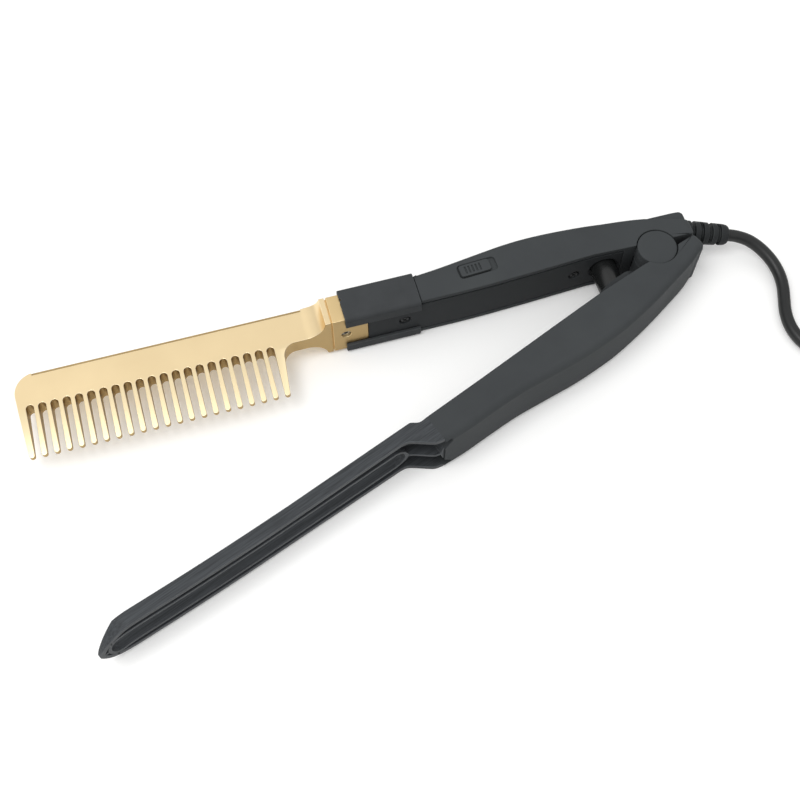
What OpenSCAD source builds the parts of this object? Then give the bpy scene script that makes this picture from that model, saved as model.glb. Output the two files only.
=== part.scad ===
// Heated pressing comb with a hinged press arm.
// The tool lies on its side as on a table: +Z is up, the heated comb points along -X and the
// mains lead leaves along +X. The origin is on the hinge axis at the table's surface.
// The press arm rests fully open; its own pieces are drawn closed and swung open by open_angle.

/* [Body] */
// Thickness of the tool across both arms
body_h = 23.2; // [21:0.2:27]
// Wall of the moulded handle shells
wall = 1.9; // [1.6:0.1:2.3]
// Thickness of the covers that close the handles
cover_t = 1.8; // [1.4:0.1:2.2]
// Gap between a cover and the shell around it
cover_gap = 0.1; // [0.06:0.02:0.2]
// Rounding of the handles' outer edges
edge_r = 2.8; // [1.5:0.1:3]
// How far the comb arm lies inside the overall thickness at top and bottom
arm_inset = 0.6; // [0.4:0.1:0.8]
// Angle that the press arm opens from closed
open_angle = 21.5; // [16:0.5:24]

/* [Comb] */
// Number of teeth
teeth = 22; // [12:1:22]
// Distance from one tooth to the next
tooth_pitch = 4.4; // [3.8:0.1:4.4]
// Width of the gap between two teeth at its root
tooth_gap = 2.9; // [1.6:0.1:3.0]
// Length of a tooth from the root of its gap
tooth_len = 19.8; // [14:0.2:21]
// Width of a tooth at its tip
tip_w = 2; // [1.4:0.1:2.2]
// Thickness of the blade
blade_t = 6.6; // [3.6:0.1:7]
// Thickness of a tooth at its tip
tip_t = 1.8; // [1.2:0.1:2.6]
// Height of the solid blade behind the teeth
blade_w = 12.9; // [10:0.1:15]
// Distance from the hinge axis to the nearest gap between teeth
first_gap_x = 149.7; // [148:0.1:152]
// Width of the outermost tooth at its root
end_tooth = 3.2; // [1.6:0.1:3.4]
// Rounding of the blade's free corner
corner_r = 8; // [3:0.5:10]
// Radius of the cove between blade and flange
cove_r = 8; // [5:0.5:8.5]
// Thickness of the flange behind the cove
flange_t = 2; // [1.2:0.1:3]
// Width of the step along the blade's back edge
spine_step_w = 1.1; // [0.5:0.1:2]
// Depth of the step along the blade's back edge
spine_step_d = 0.4; // [0.2:0.1:0.8]

/* [Heater] */
// Distance from the hinge axis to the heater block's front
block_x = 126.2; // [125:0.1:128]
// Visible length of the heater block
block_len = 13.8; // [10:0.1:16]
// Depth of the heater block from its inner face to its back
block_w = 11.4; // [10:0.2:12]
// Width of the seam groove between comb and block
seam_w = 0.5; // [0.3:0.1:0.8]
// Diameter of the ceramic heater rod
heater_d = 6; // [5:0.1:6.4]
// Running clearance round the heater rod and the set screw
rod_gap = 0.05; // [0.02:0.01:0.1]
// Diameter of the set screw's hole in the block
set_screw_d = 3.8; // [3:0.1:4.4]

/* [Heat guard] */
// Length of the heat guard
guard_len = 28.8; // [24:0.2:30]
// Wall of the heat guard
guard_t = 1.2; // [1:0.1:1.6]
// Clearance between guard and block
guard_gap = 0.1; // [0.05:0.01:0.15]
// Height of the guard's lips on the inner face
guard_lip = 5.2; // [3:0.2:6]
// Outer corner radius of the guard
guard_r = 1.8; // [1:0.1:2.4]

/* [Hinge] */
// Radius of the round caps over the hinge
cap_r = 7.45; // [7:0.05:8]
// Thickness of a hinge cap
cap_t = 2.6; // [2:0.1:3.2]
// Radius of the hinge pin
pin_r = 2.5; // [2:0.1:3]
// Running clearance round the hinge pin
pin_gap = 0.05; // [0.02:0.01:0.1]
// Clearance between what turns and what stands still
turn_gap = 0.3; // [0.2:0.05:0.4]
// Height of each outer hinge eye, below its cap
eye_h = 4.4; // [3.6:0.1:5]
// Radius of the hinge pin's heads
pin_head_r = 3.8; // [3.4:0.1:4.4]
// Height of a hinge pin's head
pin_head_h = 1; // [0.8:0.1:1.4]

/* [Spring] */
// Distance from the hinge axis to the spring sleeve
sleeve_x = 19; // [18:0.2:21]
// Diameter of the spring sleeve
sleeve_d = 10; // [8:0.2:10]
// How far the sleeve stands out of the comb arm
sleeve_len = 13; // [12:0.2:13.6]
// Wall of the sleeve
sleeve_t = 0.9; // [0.7:0.1:1.2]
// Outer radius of the collar round the press arm's pocket
collar_r = 10.2; // [9.2:0.1:10.4]
// Inner radius of that collar
collar_bore = 6.6; // [6.4:0.1:7]
// How far the collar stands out of the press arm
collar_h = 2.5; // [1.5:0.1:3]
// Wire thickness of the spring
wire_d = 0.8; // [0.6:0.1:1]
// Outer diameter of the spring
spring_d = 6.6; // [5.5:0.1:6.8]
// Turns of the spring
spring_turns = 8; // [5:1:10]

/* [Press jaw] */
// Distance from the hinge axis to the jaw's tip
jaw_tip_x = 248; // [247:0.2:252]
// Distance from the hinge axis to the joint between jaw and handle
jaw_root_x = 113; // [112:0.2:115]
// Thickness of the jaw from its inner to its outer face
jaw_t = 5.1; // [4:0.1:5.4]
// Height of the jaw along its straight part
jaw_h = 20.2; // [18:0.2:21.4]
// Thickness of the channel's top and bottom flanges
flange_w = 1.9; // [1.4:0.1:2.4]
// Thickness of the channel's floor
floor_t = 1.6; // [1.2:0.1:2.2]
// Height of the slot that the teeth pass through
slot_h = 9.4; // [7:0.2:10.4]
// Wall round the slot
slot_wall = 1.2; // [0.9:0.1:1.5]
// Clearance between the end tooth's sweep and the slot's end
slot_clear = 1.5; // [1.3:0.1:2]
// Thickness of the web that joins the slot's wall to the channel's ends
web_t = 1.1; // [0.8:0.1:1.6]

/* [Switch] */
// Length of the switch recess in the top face
recess_len = 14.8; // [14.6:0.2:18]
// Width of the switch recess
recess_w = 5.9; // [5:0.1:7]
// Depth of the switch recess
recess_d = 1; // [0.8:0.1:1.2]
// Length of the sliding knob
knob_len = 12.2; // [11.6:0.2:14]
// Travel of the sliding knob
knob_travel = 2; // [1.6:0.1:2.6]
// Clearance round the knob
knob_gap = 0.3; // [0.2:0.05:0.4]
// How far the knob stands above the top face
knob_proud = 0.5; // [0.3:0.1:0.9]
// Number of grip ribs on the knob
knob_ribs = 5; // [3:1:7]

/* [Screws] */
// Diameter of the recess over a cover screw
screw_recess_d = 4.6; // [4.2:0.1:5]
// Diameter of a cover screw's head
screw_head_d = 4; // [3.4:0.1:4]
// Height of a cover screw's head
screw_head_h = 0.8; // [0.6:0.1:1]
// Diameter of a cover screw's shank
screw_d = 2; // [1.6:0.1:2.4]

/* [Mains lead] */
// Diameter of the lead
cord_d = 4.8; // [4.4:0.1:5]
// Diameter of the strain relief at the handle
boot_d = 9.2; // [8:0.1:9.4]
// Length of the strain relief outside the handle
boot_len = 18; // [16:0.5:22]
// Number of slots in the strain relief
boot_slots = 4; // [2:1:4]
// Distance between the coiled lead's turns
coil_pitch = 5.4; // [5.3:0.1:6]
// Radius of the coil's innermost turn
coil_in_r = 20; // [20:0.5:22]
// Turns in each of the coil's layers
coil_turns = 2.625; // [1.625:1:3.625]
// Layers of the coil
coil_layers = 4; // [2:2:4]
// Thickness of the tie round the coil
tie_t = 0.6; // [0.5:0.1:0.8]
// Width of the tie
tie_w = 9; // [6:1:12]

/* [Hidden] */

$fn = 64;
eps = 0.01;
far = 400;

// Levels in Z
mid_z = body_h / 2;
arm_z0 = arm_inset;
arm_z1 = body_h - arm_inset;
cap_z0 = arm_z1 - cap_t;
eye_top_z0 = cap_z0 - eye_h;
eye_low_z0 = cap_t + arm_inset;
eye_low_z1 = eye_low_z0 + eye_h;
cavity_z0 = arm_z0 + wall;
cavity_z1 = arm_z1 - wall;
block_z0 = guard_t + guard_gap;
block_z1 = body_h - guard_t - guard_gap;

// The comb arm's plan: its inner edge faces the press arm
inner_y = 0.8;
block_y1 = inner_y + block_w;
block_back_x = block_x - block_len;
guard_front_x = block_x - 5.2;
guard_back_x = guard_front_x - guard_len;
handle_x = guard_back_x - turn_gap;
tail_x = 16.5;
heel_y = 15.5;
heel_z = 18.6;
comb_inner = [[-handle_x, 0.8], [-77, 0.8], [-66, 1.0], [-48, 1.8], [-31, 2.7], [-24, 3.1], [-10, 2.6],
    [8, 2.4], [tail_x, 2.3]];
comb_outer_keys = [[-handle_x, 13.0], [-82, 14.0], [-70, 15.6], [-57, 17.3], [-47, 18.0],
    [-36, 17.9], [-24, 17.2], [-13, 16.1], [-2, heel_y], [5, heel_y], [tail_x - 4, heel_y]];
heel_cut_keys = [[-26, 17.9], [-19, 16.8], [-12, 15.6], [-2, 13.7], [7, 11.3], [tail_x + 1, 8.2]];

// The press arm's plan, drawn closed
press_inner = [[-jaw_root_x, -4.3], [-89, -3.9], [-56, -3.1], [-42, -2.8], [-31, -2.6], [-10, -3.1],
    [8, -4.1], [15.6, -4.4]];
press_outer_keys = [[-jaw_root_x, -15.6], [-104, -16.2], [-92, -16.2], [-80, -16.4], [-68, -17.5],
    [-54, -18.9], [-42, -19.3], [-32, -19.0], [-18, -17.3], [-6, -15.1], [6, -12.6], [12, -10.6]];
press_tail_x = 15.6;
press_tail_y = -4.4;

// The jaw's inner face and its outer face, drawn closed
jaw_inner_keys = [[-jaw_tip_x + 10, 0], [-232, -0.1], [-221, -0.6], [-206, -1.2], [-191, -1.6],
    [-173, -1.9], [-150, -2.1], [-130, -2.3], [-120, -2.4]];
jaw_flare_x = 124;
jaw_shoulder_x = 116.5;
jaw_prow = 15;

// Where both handles' cavities end, before the hinge
cavity_end_x = -12;

// Spring pocket
pocket_x = sleeve_x + 1;
pocket_flat = mid_z + 9.2;

// Switch
switch_x = -67.9;
switch_y = 9.3;
switch_tilt = 3;

// Screws through the covers: distance from the hinge axis
comb_screw_x = [98.2, 30.7];
press_screw_x = [100, 40];
cover_screw_len = 7;
boss_d = 5.4;

// Mains lead: where the strain relief starts and which way it points
boot_at = [tail_x, 10.2, mid_z];
boot_turn = [0, 8, -14.5];
boot_in = 5;
boot_gap = 1.45;
boot_end_d = cord_d + 2.4;
cord_z = cord_d / 2;
tie_gap = 0.4;
coil_z = tie_t + tie_gap + cord_d / 2;
coil_c = [108, -46];
coil_out_r = coil_in_r + coil_turns * coil_pitch;
coil_start = 225;
coil_rings = 24;
plug_len = 26;
plug_w = 19;
plug_neck = 16;
plug_half = 8.4;

// A smooth curve through key points, with n steps between two of them
function bend(p, q, r, s, t) =
    0.5 * (2 * q + (r - p) * t + (2 * p - 5 * q + 4 * r - s) * t * t + (3 * q - p - 3 * r + s) * t * t * t);
function smooth(k, n) = concat(
    [for (i = [0 : len(k) - 2], j = [0 : n - 1])
        bend(k[max(i - 1, 0)], k[i], k[i + 1], k[min(i + 2, len(k) - 1)], j / n)],
    [k[len(k) - 1]]);
function unit(v) = v / norm(v);
function back(p) = [for (i = [len(p) - 1 : -1 : 0]) p[i]];
function shifted(p, dy) = [for (q = p) q + [0, dy]];
// A circular arc as points
function arc(c, r, a0, a1, n) = [for (i = [0 : n]) let (a = a0 + (a1 - a0) * i / n)
    [c[0] + r * cos(a), c[1] + r * sin(a)]];

// Edge rounding: [how far the outline is drawn in, height from the flat face] from edge to side
edge_steps = 4;
function edge_ring(i) = let (a = 90 * i / edge_steps) [edge_r * (1 - sin(a)), edge_r * (1 - cos(a))];
edge_levels = [for (i = [0 : edge_steps]) edge_ring(i)];

// Closed solid through rings of points, each ring a list of [x, y, z]. The ends are closed in
// strips between a ring's first half and its second half, which may be concave.
module loft(rings) {
    n = len(rings[0]);
    m = len(rings);
    top = (m - 1) * n;
    polyhedron(
        points = [for (r = rings, p = r) p],
        faces = concat(
            [for (i = [0 : n / 2 - 2]) [i, i + 1, n - 2 - i, n - 1 - i]],
            [for (k = [0 : m - 2], i = [0 : n - 1]) let (j = (i + 1) % n)
                [(k + 1) * n + j, k * n + j, k * n + i]],
            [for (k = [0 : m - 2], i = [0 : n - 1]) let (j = (i + 1) % n)
                [(k + 1) * n + i, (k + 1) * n + j, k * n + i]],
            [for (i = [0 : n / 2 - 2]) [top + n - 1 - i, top + n - 2 - i, top + i + 1, top + i]]),
        convexity = 6);
}

// A handle with its long edges rounded at top and bottom. Both sides run from the front to the
// tail with the same number of points, near at lower Y; each holds one list for each level.
module rounded_arm(near, distant, z0, z1) {
    levels = concat(
        [for (i = [0 : edge_steps]) [i, z0 + edge_levels[i][1]]],
        [for (i = [edge_steps : -1 : 0]) [i, z1 - edge_levels[i][1]]]);
    loft([for (l = levels) [for (p = concat(near[l[0]], back(distant[l[0]]))) [p[0], p[1], l[1]]]]);
}

// A tube along route points, which never runs along the direction up
function tube_dir(p, i) = unit(unit(p[min(i + 1, len(p) - 1)] - p[min(i, len(p) - 2)])
    + unit(p[max(i, 1)] - p[max(i - 1, 0)]));
module tube(path, d, sides, up = [0, 0, 1]) {
    loft([for (i = [0 : len(path) - 1]) let (t = tube_dir(path, i), u = unit(cross(up, t)), v = cross(t, u))
        [for (s = [0 : sides - 1]) let (a = 360 * s / sides) path[i] + d / 2 * (cos(a) * u + sin(a) * v)]]);
}

// ---------- comb ----------
root_y = inner_y + 0.4;
tip_y_comb = root_y - tooth_len;
spine_y = root_y + blade_w;
gap_x = [for (i = [0 : teeth - 2]) -(first_gap_x + i * tooth_pitch)];
comb_end_x = gap_x[teeth - 2] - tooth_gap / 2 - end_tooth;
tip_half = tip_w / 2;
tip_flat = 0.06;
function tip_x(i) = -first_gap_x + tooth_pitch / 2 - i * tooth_pitch;
neck_x = -(block_x + flange_t + cove_r);

module gap_shape(x) {
    translate([x, root_y - tooth_gap / 2]) circle(d = tooth_gap, $fn = 32);
    // Straight flanks, then round the tips of both neighbouring teeth
    for (s = [-1, 1]) polygon(concat(
        [[x, root_y - tooth_gap / 2], [x + s * tooth_gap / 2, root_y - tooth_gap / 2]],
        [for (a = [0 : 15 : 90]) [
            x + s * (tooth_pitch / 2 - tip_flat - (tip_half - tip_flat) * cos(a)),
            tip_y_comb + (tip_half - tip_flat) * (1 - sin(a))]],
        [[x + s * (tooth_pitch / 2 - tip_flat), tip_y_comb - 1], [x, tip_y_comb - 1]]));
}

module blade_plan() {
    end_r = 5;
    r = tip_half - tip_flat;
    difference() {
        // Blade, neck and flange, seen from above
        polygon(concat(
            arc([comb_end_x + corner_r, spine_y - corner_r], corner_r, 180, 90, 12),
            [[neck_x + 1, spine_y], [neck_x + 3.2, spine_y - 0.25], [neck_x + 5.6, spine_y - 0.9],
             [neck_x + cove_r, block_y1], [-block_x, block_y1], [-block_x, inner_y]],
            arc([neck_x - 4, inner_y - end_r], end_r, 90, 180, 8),
            arc([tip_x(0) + tip_flat, tip_y_comb + r], r, 0, -90, 6),
            arc([tip_x(teeth - 1) - tip_flat, tip_y_comb + r], r, -90, -180, 6)));
        for (x = gap_x) gap_shape(x);
    }
}

module comb() {
    color("#D9C08E") difference() {
        intersection() {
            linear_extrude(body_h) blade_plan();
            // Side view: thin blade, cove and full flange
            translate([0, 50, mid_z]) rotate([90, 0, 0]) linear_extrude(100) difference() {
                translate([-260, -body_h]) square([260 - block_x, 2 * body_h]);
                for (s = [-1, 1]) scale([1, s]) {
                    translate([-260, blade_t / 2 + cove_r]) square([260 + neck_x + cove_r, body_h]);
                    translate([-260, blade_t / 2]) square([260 + neck_x, cove_r + 1]);
                    translate([neck_x, blade_t / 2 + cove_r]) circle(r = cove_r, $fn = 64);
                    translate([-260, (block_z1 - block_z0) / 2]) square([260, body_h]);
                }
            }
            // End view: the teeth thin towards their tips
            translate([-260, 0, mid_z]) rotate([90, 0, 90]) linear_extrude(260) polygon([
                [root_y - 1.6, -body_h], [spine_y + 5, -body_h], [spine_y + 5, body_h],
                [root_y - 1.6, body_h], [root_y - 1.6, blade_t / 2], [tip_y_comb, tip_t / 2],
                [tip_y_comb - 1, tip_t / 2], [tip_y_comb - 1, -tip_t / 2],
                [tip_y_comb, -tip_t / 2], [root_y - 1.6, -blade_t / 2]]);
        }
        for (s = [-1, 1])
            translate([comb_end_x + corner_r - 1, spine_y - spine_step_w, mid_z + s * (blade_t - spine_step_d + eps) / 2])
                translate([0, 0, -(spine_step_d + eps) / 2])
                    cube([neck_x - comb_end_x - corner_r + 2, spine_step_w + 1, spine_step_d + eps]);
    }
}

// ---------- heater ----------
tang_len = 9;
heater_y = inner_y + block_w / 2;
heater_x0 = block_x - 3;
heater_len = 20;

module heater_block() {
    color("#C9AE76") difference() {
        union() {
            translate([-block_x, inner_y + seam_w, block_z0 + seam_w])
                cube([seam_w + 1, block_w - 2 * seam_w, block_z1 - block_z0 - 2 * seam_w]);
            translate([-block_x + seam_w, inner_y, block_z0])
                cube([block_len - seam_w, block_w, block_z1 - block_z0]);
            // Tang inside the handle
            translate([-block_back_x - 1, inner_y + cover_t + 0.6, cavity_z0 + 1.4])
                cube([tang_len + 1, block_w - cover_t - 2.7, cavity_z1 - cavity_z0 - 2.8]);
        }
        translate([-heater_x0, heater_y, mid_z]) rotate([0, 90, 0])
            cylinder(r = heater_d / 2 + rod_gap, h = heater_len + 10);
        translate([-block_x + 5.4, inner_y - 1, mid_z]) rotate([-90, 0, 0])
            cylinder(r = set_screw_d / 2, h = block_w / 2 + 1);
    }
}

module set_screw() {
    r = set_screw_d / 2 - rod_gap;
    color("#8C6E45") translate([-block_x + 5.4, inner_y + 0.9, mid_z]) rotate([-90, 0, 0]) difference() {
        cylinder(r = r, h = block_w / 2 - heater_d / 2 - 0.9);
        translate([0, 0, -eps]) cylinder(r = 0.9, h = 0.8, $fn = 6);
    }
}

module heater_rod() {
    color("#E8E4DA") translate([-heater_x0, heater_y, mid_z]) rotate([0, 90, 0])
        cylinder(r = heater_d / 2, h = heater_len);
}

fuse_x = -block_back_x + tang_len + 2.6;
module thermal_fuse() {
    color("#B8B4A8") {
        translate([fuse_x, 8.8, mid_z + 4.4]) rotate([0, 90, 0]) cylinder(d = 3, h = 8);
        translate([fuse_x - 2.6, 8.8, mid_z + 4.4]) rotate([0, 90, 0]) cylinder(d = 0.9, h = 3, $fn = 16);
    }
}

module heat_guard() {
    y0 = inner_y - guard_gap - guard_t;
    y1 = block_y1 + guard_gap + guard_t + 0.3;
    r = guard_r;
    ri = 0.5;
    color("#2E3031") difference() {
        translate([-guard_front_x, 0, 0]) rotate([90, 0, 90]) linear_extrude(guard_len) difference() {
            union() {
                translate([y0 + r, 0]) square([y1 - y0 - 2 * r, body_h]);
                translate([y0, r]) square([y1 - y0, body_h - 2 * r]);
                for (y = [y0 + r, y1 - r], z = [r, body_h - r]) translate([y, z]) circle(r = r);
            }
            translate([inner_y - guard_gap, block_z0 - guard_gap])
                square([block_w + 2 * guard_gap, block_z1 - block_z0 + 2 * guard_gap]);
            translate([y0 - 1, guard_lip]) square([4, body_h - 2 * guard_lip]);
        }
        // Small notch in the front edge
        translate([-guard_front_x - eps, 8.6, body_h - guard_t - 1]) cube([0.6, 1, guard_t + 2]);
    }
}

// ---------- comb arm ----------
comb_outer = smooth(comb_outer_keys, 3);
// Tail corners drawn in by d: the inner one only along X, since the inner edge stays sharp
function flat_arc(c, rx, ry, a0, a1, n) = [for (i = [0 : n]) let (a = a0 + (a1 - a0) * i / n)
    [c[0] + rx * cos(a), c[1] + ry * sin(a)]];

module comb_arm_outer() {
    inner = [for (p = comb_outer) [p[0], comb_inner_at(p[0])]];
    rounded_arm(
        [for (e = edge_levels) let (r = max(1.6 - e[0], 0.1))
            concat(inner, flat_arc([tail_x - e[0] - r, 3.9], r, 1.6, -90, 0, 4))],
        [for (e = edge_levels) let (r = max(2 - e[0], 0.4)) concat(shifted(comb_outer, -e[0]),
            arc([tail_x - e[0] - r, heel_y - 0.1 - e[0] - r], r, 75, 0, 4))],
        arm_z0, arm_z1);
}

module hinge_eye(z0, z1) {
    translate([0, 0, z0]) cylinder(r = cap_r, h = z1 - z0);
}

module hinge_bore() {
    translate([0, 0, -1]) cylinder(r = pin_r + pin_gap, h = body_h + 2);
}

module wire_channel() {
    translate([0, 0, mid_z - 4.2]) linear_extrude(8.4) polygon([
        [-13, 10.2], [-6, 9.9], [0, 9.8], [6, 9.4], [12, 7.6], [12, 10.8], [7, 12.6], [0, 13.2], [-13, 13.4]]);
}

module comb_arm_shell() {
    cavity_back = [for (p = comb_outer) if (p[0] < cavity_end_x) p + [0, -wall]];
    color("#3C3F40") difference() {
        union() {
            comb_arm_outer();
            // Front end that carries the guard
            translate([-block_back_x, inner_y, block_z0])
                cube([block_back_x - handle_x + 1, block_w, block_z1 - block_z0]);
            hinge_eye(eye_low_z0, eye_low_z1);
            hinge_eye(eye_top_z0, cap_z0);
        }
        // Room for electronics and wiring, open to the cover
        translate([0, 0, cavity_z0]) linear_extrude(cavity_z1 - cavity_z0) polygon(concat(
            [[-handle_x - 0.5, block_y1 - 1.4], [-block_back_x - 1, block_y1 - 1.4],
             [-block_back_x - 1, -2], [cavity_end_x, -2], [cavity_end_x, comb_back_at(cavity_end_x)]],
            back(cavity_back)));
        // Turning room for the press arm's eye, and seats for the caps
        translate([0, 0, eye_low_z1]) cylinder(r = cap_r + turn_gap, h = eye_top_z0 - eye_low_z1);
        translate([0, 0, cap_z0]) cylinder(r = cap_r + turn_gap, h = cap_t + 1);
        translate([0, 0, -1]) cylinder(r = cap_r + turn_gap, h = eye_low_z0 + 1);
        hinge_bore();
        wire_channel();
        // Top plate drawn in along the heel
        translate([0, 0, heel_z]) linear_extrude(body_h) polygon(concat(
            smooth(heel_cut_keys, 3), [[tail_x + 4, 8], [tail_x + 4, 24], [-26, 24]]));
        // Socket for the strain relief
        translate(boot_at) rotate(boot_turn) rotate([0, 90, 0])
            translate([0, 0, -boot_in - 0.2]) cylinder(r = cord_d / 2 + 1.2, h = boot_in + 6);
        // Switch recess, with a slot for the knob's stem
        translate([switch_x, switch_y, arm_z1 - recess_d]) rotate([0, 0, switch_tilt])
            translate([-recess_len / 2, -recess_w / 2, 0]) cube([recess_len, recess_w, recess_d + 1]);
        translate([switch_x, switch_y, cavity_z1 - 1]) rotate([0, 0, switch_tilt])
            translate([-4, -1.3, 0]) cube([8, 2.6, wall + 2]);
    }
    // Screw bosses
    color("#3C3F40") for (x = comb_screw_x) comb_boss(x);
    // Posts under the circuit board
    color("#3C3F40") for (x = board_posts) translate([x, board_y, cavity_z0 - 0.5])
        cylinder(d = 3.4, h = board_z - cavity_z0 + 0.5);
}

function outer_y(x, keys) = let (p = smooth(keys, 3), h = [for (i = [0 : len(p) - 2])
    if ((p[i][0] - x) * (p[i + 1][0] - x) <= 0) i])
    len(h) == 0 ? p[0][1] : let (i = h[0]) p[i][1] + (p[i + 1][1] - p[i][1]) * (x - p[i][0]) / (p[i + 1][0] - p[i][0]);
function inner_edge_y(x, keys) = let (h = [for (i = [0 : len(keys) - 2])
    if ((keys[i][0] - x) * (keys[i + 1][0] - x) <= 0) i])
    len(h) == 0 ? keys[0][1]
        : let (i = h[0]) keys[i][1] + (keys[i + 1][1] - keys[i][1]) * (x - keys[i][0]) / (keys[i + 1][0] - keys[i][0]);
function comb_inner_at(x) = x < -handle_x ? inner_y : inner_edge_y(x, comb_inner);
function comb_back_at(x) = x < -handle_x ? block_y1 - 1.4 : outer_y(x, comb_outer_keys) - wall;

module comb_boss(x) {
    y0 = comb_inner_at(-x) + cover_t + 0.25;
    y1 = comb_back_at(-x) + 0.5;
    difference() {
        translate([-x, y0, mid_z]) rotate([-90, 0, 0]) cylinder(d = boss_d, h = y1 - y0);
        translate([-x, y0 - 1, mid_z]) rotate([-90, 0, 0])
            cylinder(d = screw_d + 0.1, h = min(cover_screw_len + 1, y1 - y0 - 0.6 + 1));
    }
}

// A cover follows its arm's inner edge and fills the mouth of the cavity
cover_path = concat([[-block_back_x + 0.2, inner_y]], comb_inner);
module comb_arm_cover() {
    x_end = cavity_end_x - cover_gap;
    edge = concat([for (p = cover_path) if (p[0] < x_end) p], [[x_end, comb_inner_at(x_end)]]);
    color("#2B2D2E") difference() {
        translate([0, 0, cavity_z0 + cover_gap]) linear_extrude(cavity_z1 - cavity_z0 - 2 * cover_gap)
            polygon(concat(edge, back([for (p = edge) p + [0, cover_t]])));
        for (x = comb_screw_x) cover_screw_hole(-x, comb_inner_at(-x), 1);
        // Recess ring and seat of the spring sleeve
        translate([-sleeve_x, comb_inner_at(-sleeve_x) - 1, mid_z]) rotate([-90, 0, 0])
            cylinder(d = sleeve_d + 1.6, h = 1.6);
        translate([-sleeve_x, comb_inner_at(-sleeve_x) - 1, mid_z]) rotate([-90, 0, 0])
            cylinder(d = sleeve_d + 0.1, h = cover_t + 3);
    }
}

// A recess for the head and a hole for the shank, in a cover whose outside faces -Y (s = 1) or +Y
module cover_screw_hole(x, y, s) {
    translate([x, y, mid_z]) rotate([-90 * s, 0, 0]) {
        translate([0, 0, -1]) cylinder(d = screw_recess_d, h = 2);
        translate([0, 0, -1]) cylinder(d = screw_d + 0.3, h = cover_t + 3);
    }
}

module cover_screw(x, y, s) {
    translate([x, y, mid_z]) rotate([-90 * s, 0, 0]) difference() {
        union() {
            translate([0, 0, 1 - screw_head_h]) cylinder(d = screw_head_d, h = screw_head_h);
            translate([0, 0, 1 - eps]) cylinder(d = screw_d, h = cover_screw_len - 1);
        }
        for (a = [0, 90]) rotate([0, 0, a])
            translate([-1, -0.25, 1 - screw_head_h - eps]) cube([2, 0.5, 0.45]);
    }
}

module comb_cover_screws() {
    color("#55585A") for (x = comb_screw_x) cover_screw(-x, comb_inner_at(-x), 1);
}

// ---------- switch and electronics ----------
knob_w = recess_w - 2 * knob_gap;
knob_off = (recess_len - knob_len) / 2 - knob_gap;
board_z = 12.2;
board_t = 1.2;
board_y = 8.2;
board_posts = [-82, -50];
switch_body_z0 = board_z + board_t;
stem_z = cavity_z1 - 3.2;

module switch_knob() {
    z0 = arm_z1 - recess_d + 0.1;
    z1 = arm_z1 + knob_proud;
    r = 0.9;
    color("#3C3F40") translate([switch_x, switch_y, 0]) rotate([0, 0, switch_tilt])
        translate([-knob_off, 0, 0]) {
            difference() {
                translate([0, 0, z0]) linear_extrude(z1 - z0) {
                    square([knob_len - 2 * r, knob_w], center = true);
                    square([knob_len, knob_w - 2 * r], center = true);
                    for (x = [-1, 1], y = [-1, 1])
                        translate([x * (knob_len / 2 - r), y * (knob_w / 2 - r)]) circle(r = r, $fn = 24);
                }
                // Grooves leave the grip ribs standing
                for (i = [0 : knob_ribs])
                    translate([-2.6 + i * 6 / knob_ribs, -knob_w / 2 + 0.8, z1 - 0.35])
                        cube([0.6, knob_w - 1.6, 1]);
            }
            translate([-1.2 + knob_off - knob_travel / 2, -0.8, stem_z]) cube([2.4, 1.6, z0 - stem_z + eps]);
        }
}

module switch_body() {
    z1 = cavity_z1 - 0.1;
    color("#1E1F20") translate([switch_x, switch_y, 0]) rotate([0, 0, switch_tilt]) difference() {
        translate([-8, -2.9, switch_body_z0]) cube([16, 5.8, z1 - switch_body_z0]);
        translate([-4.2, -1.3, stem_z - 0.3]) cube([8.4, 2.6, 5]);
    }
}

module circuit_board() {
    color("#2F6B45") translate([-85, board_y - 3.6, board_z]) cube([38, 7.2, board_t]);
    color("#8A5A2B") translate([-54.5, board_y - 1.6, board_z + board_t]) cylinder(d = 3.2, h = 4);
    color("#C8B48A") translate([-82, board_y - 1.8, board_z + board_t]) cube([4.2, 3.6, 2]);
}

heater_lead = [
    [-heater_x0 + heater_len + 0.1, heater_y, mid_z], [-heater_x0 + heater_len + 0.5, heater_y, mid_z],
    [-102, 6.4, 10.6], [-101.6, 6.2, 8.6], [-100.8, 6, 6.6], [-97, 5.8, 5.6], [-92, 5.6, 5.2],
    [-87, 5.5, 5.8], [-82, 5.5, 7.4], [-79.6, 5.8, 9.2], [-78.7, 6, 10.8], [-78.6, 6, board_z - 0.05]];
fuse_lead = [
    [fuse_x + 8.05, 8.8, mid_z + 4.4], [fuse_x + 10, 8.8, mid_z + 4.4], [-87.5, 9.6, mid_z + 4.6],
    [-85, 9.8, mid_z + 4.8], [-82.2, 9.4, mid_z + 4.9], [-80.8, 8.9, switch_body_z0 + 3.1],
    [-80.2, 8.6, switch_body_z0 + 2.65]];
module heater_leads() {
    color("#C8442F") {
        tube(heater_lead, 1.3, 8, [0, 1, 0]);
        tube(fuse_lead, 1.3, 8, [0, 1, 0]);
    }
}

module supply_leads() {
    for (s = [-1, 1]) color(s > 0 ? "#2E2E2E" : "#D8D8D8") tube([
        [-46.9, board_y + s * 1.6, board_z + board_t / 2], [-46, board_y + s * 1.6, board_z + board_t / 2], [-44, board_y + s * 1.6, board_z + board_t / 2],
        [-36, 11.6, mid_z + 4.6 * s], [-24, 11.5, mid_z + 4.4 * s], [-17, 11.6, mid_z + 4.3 * s],
        [-12, 11.7, mid_z + 3.2 * s], [-5, 11.5, mid_z + 2.4 * s], [2, 11.3, mid_z + 1.6 * s],
        [6.5, 10.7, mid_z + 1.3 * s], [10.6, boot_at[1] + 0.6, mid_z + 1.1 * s]], 1.5, 8);
}

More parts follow.
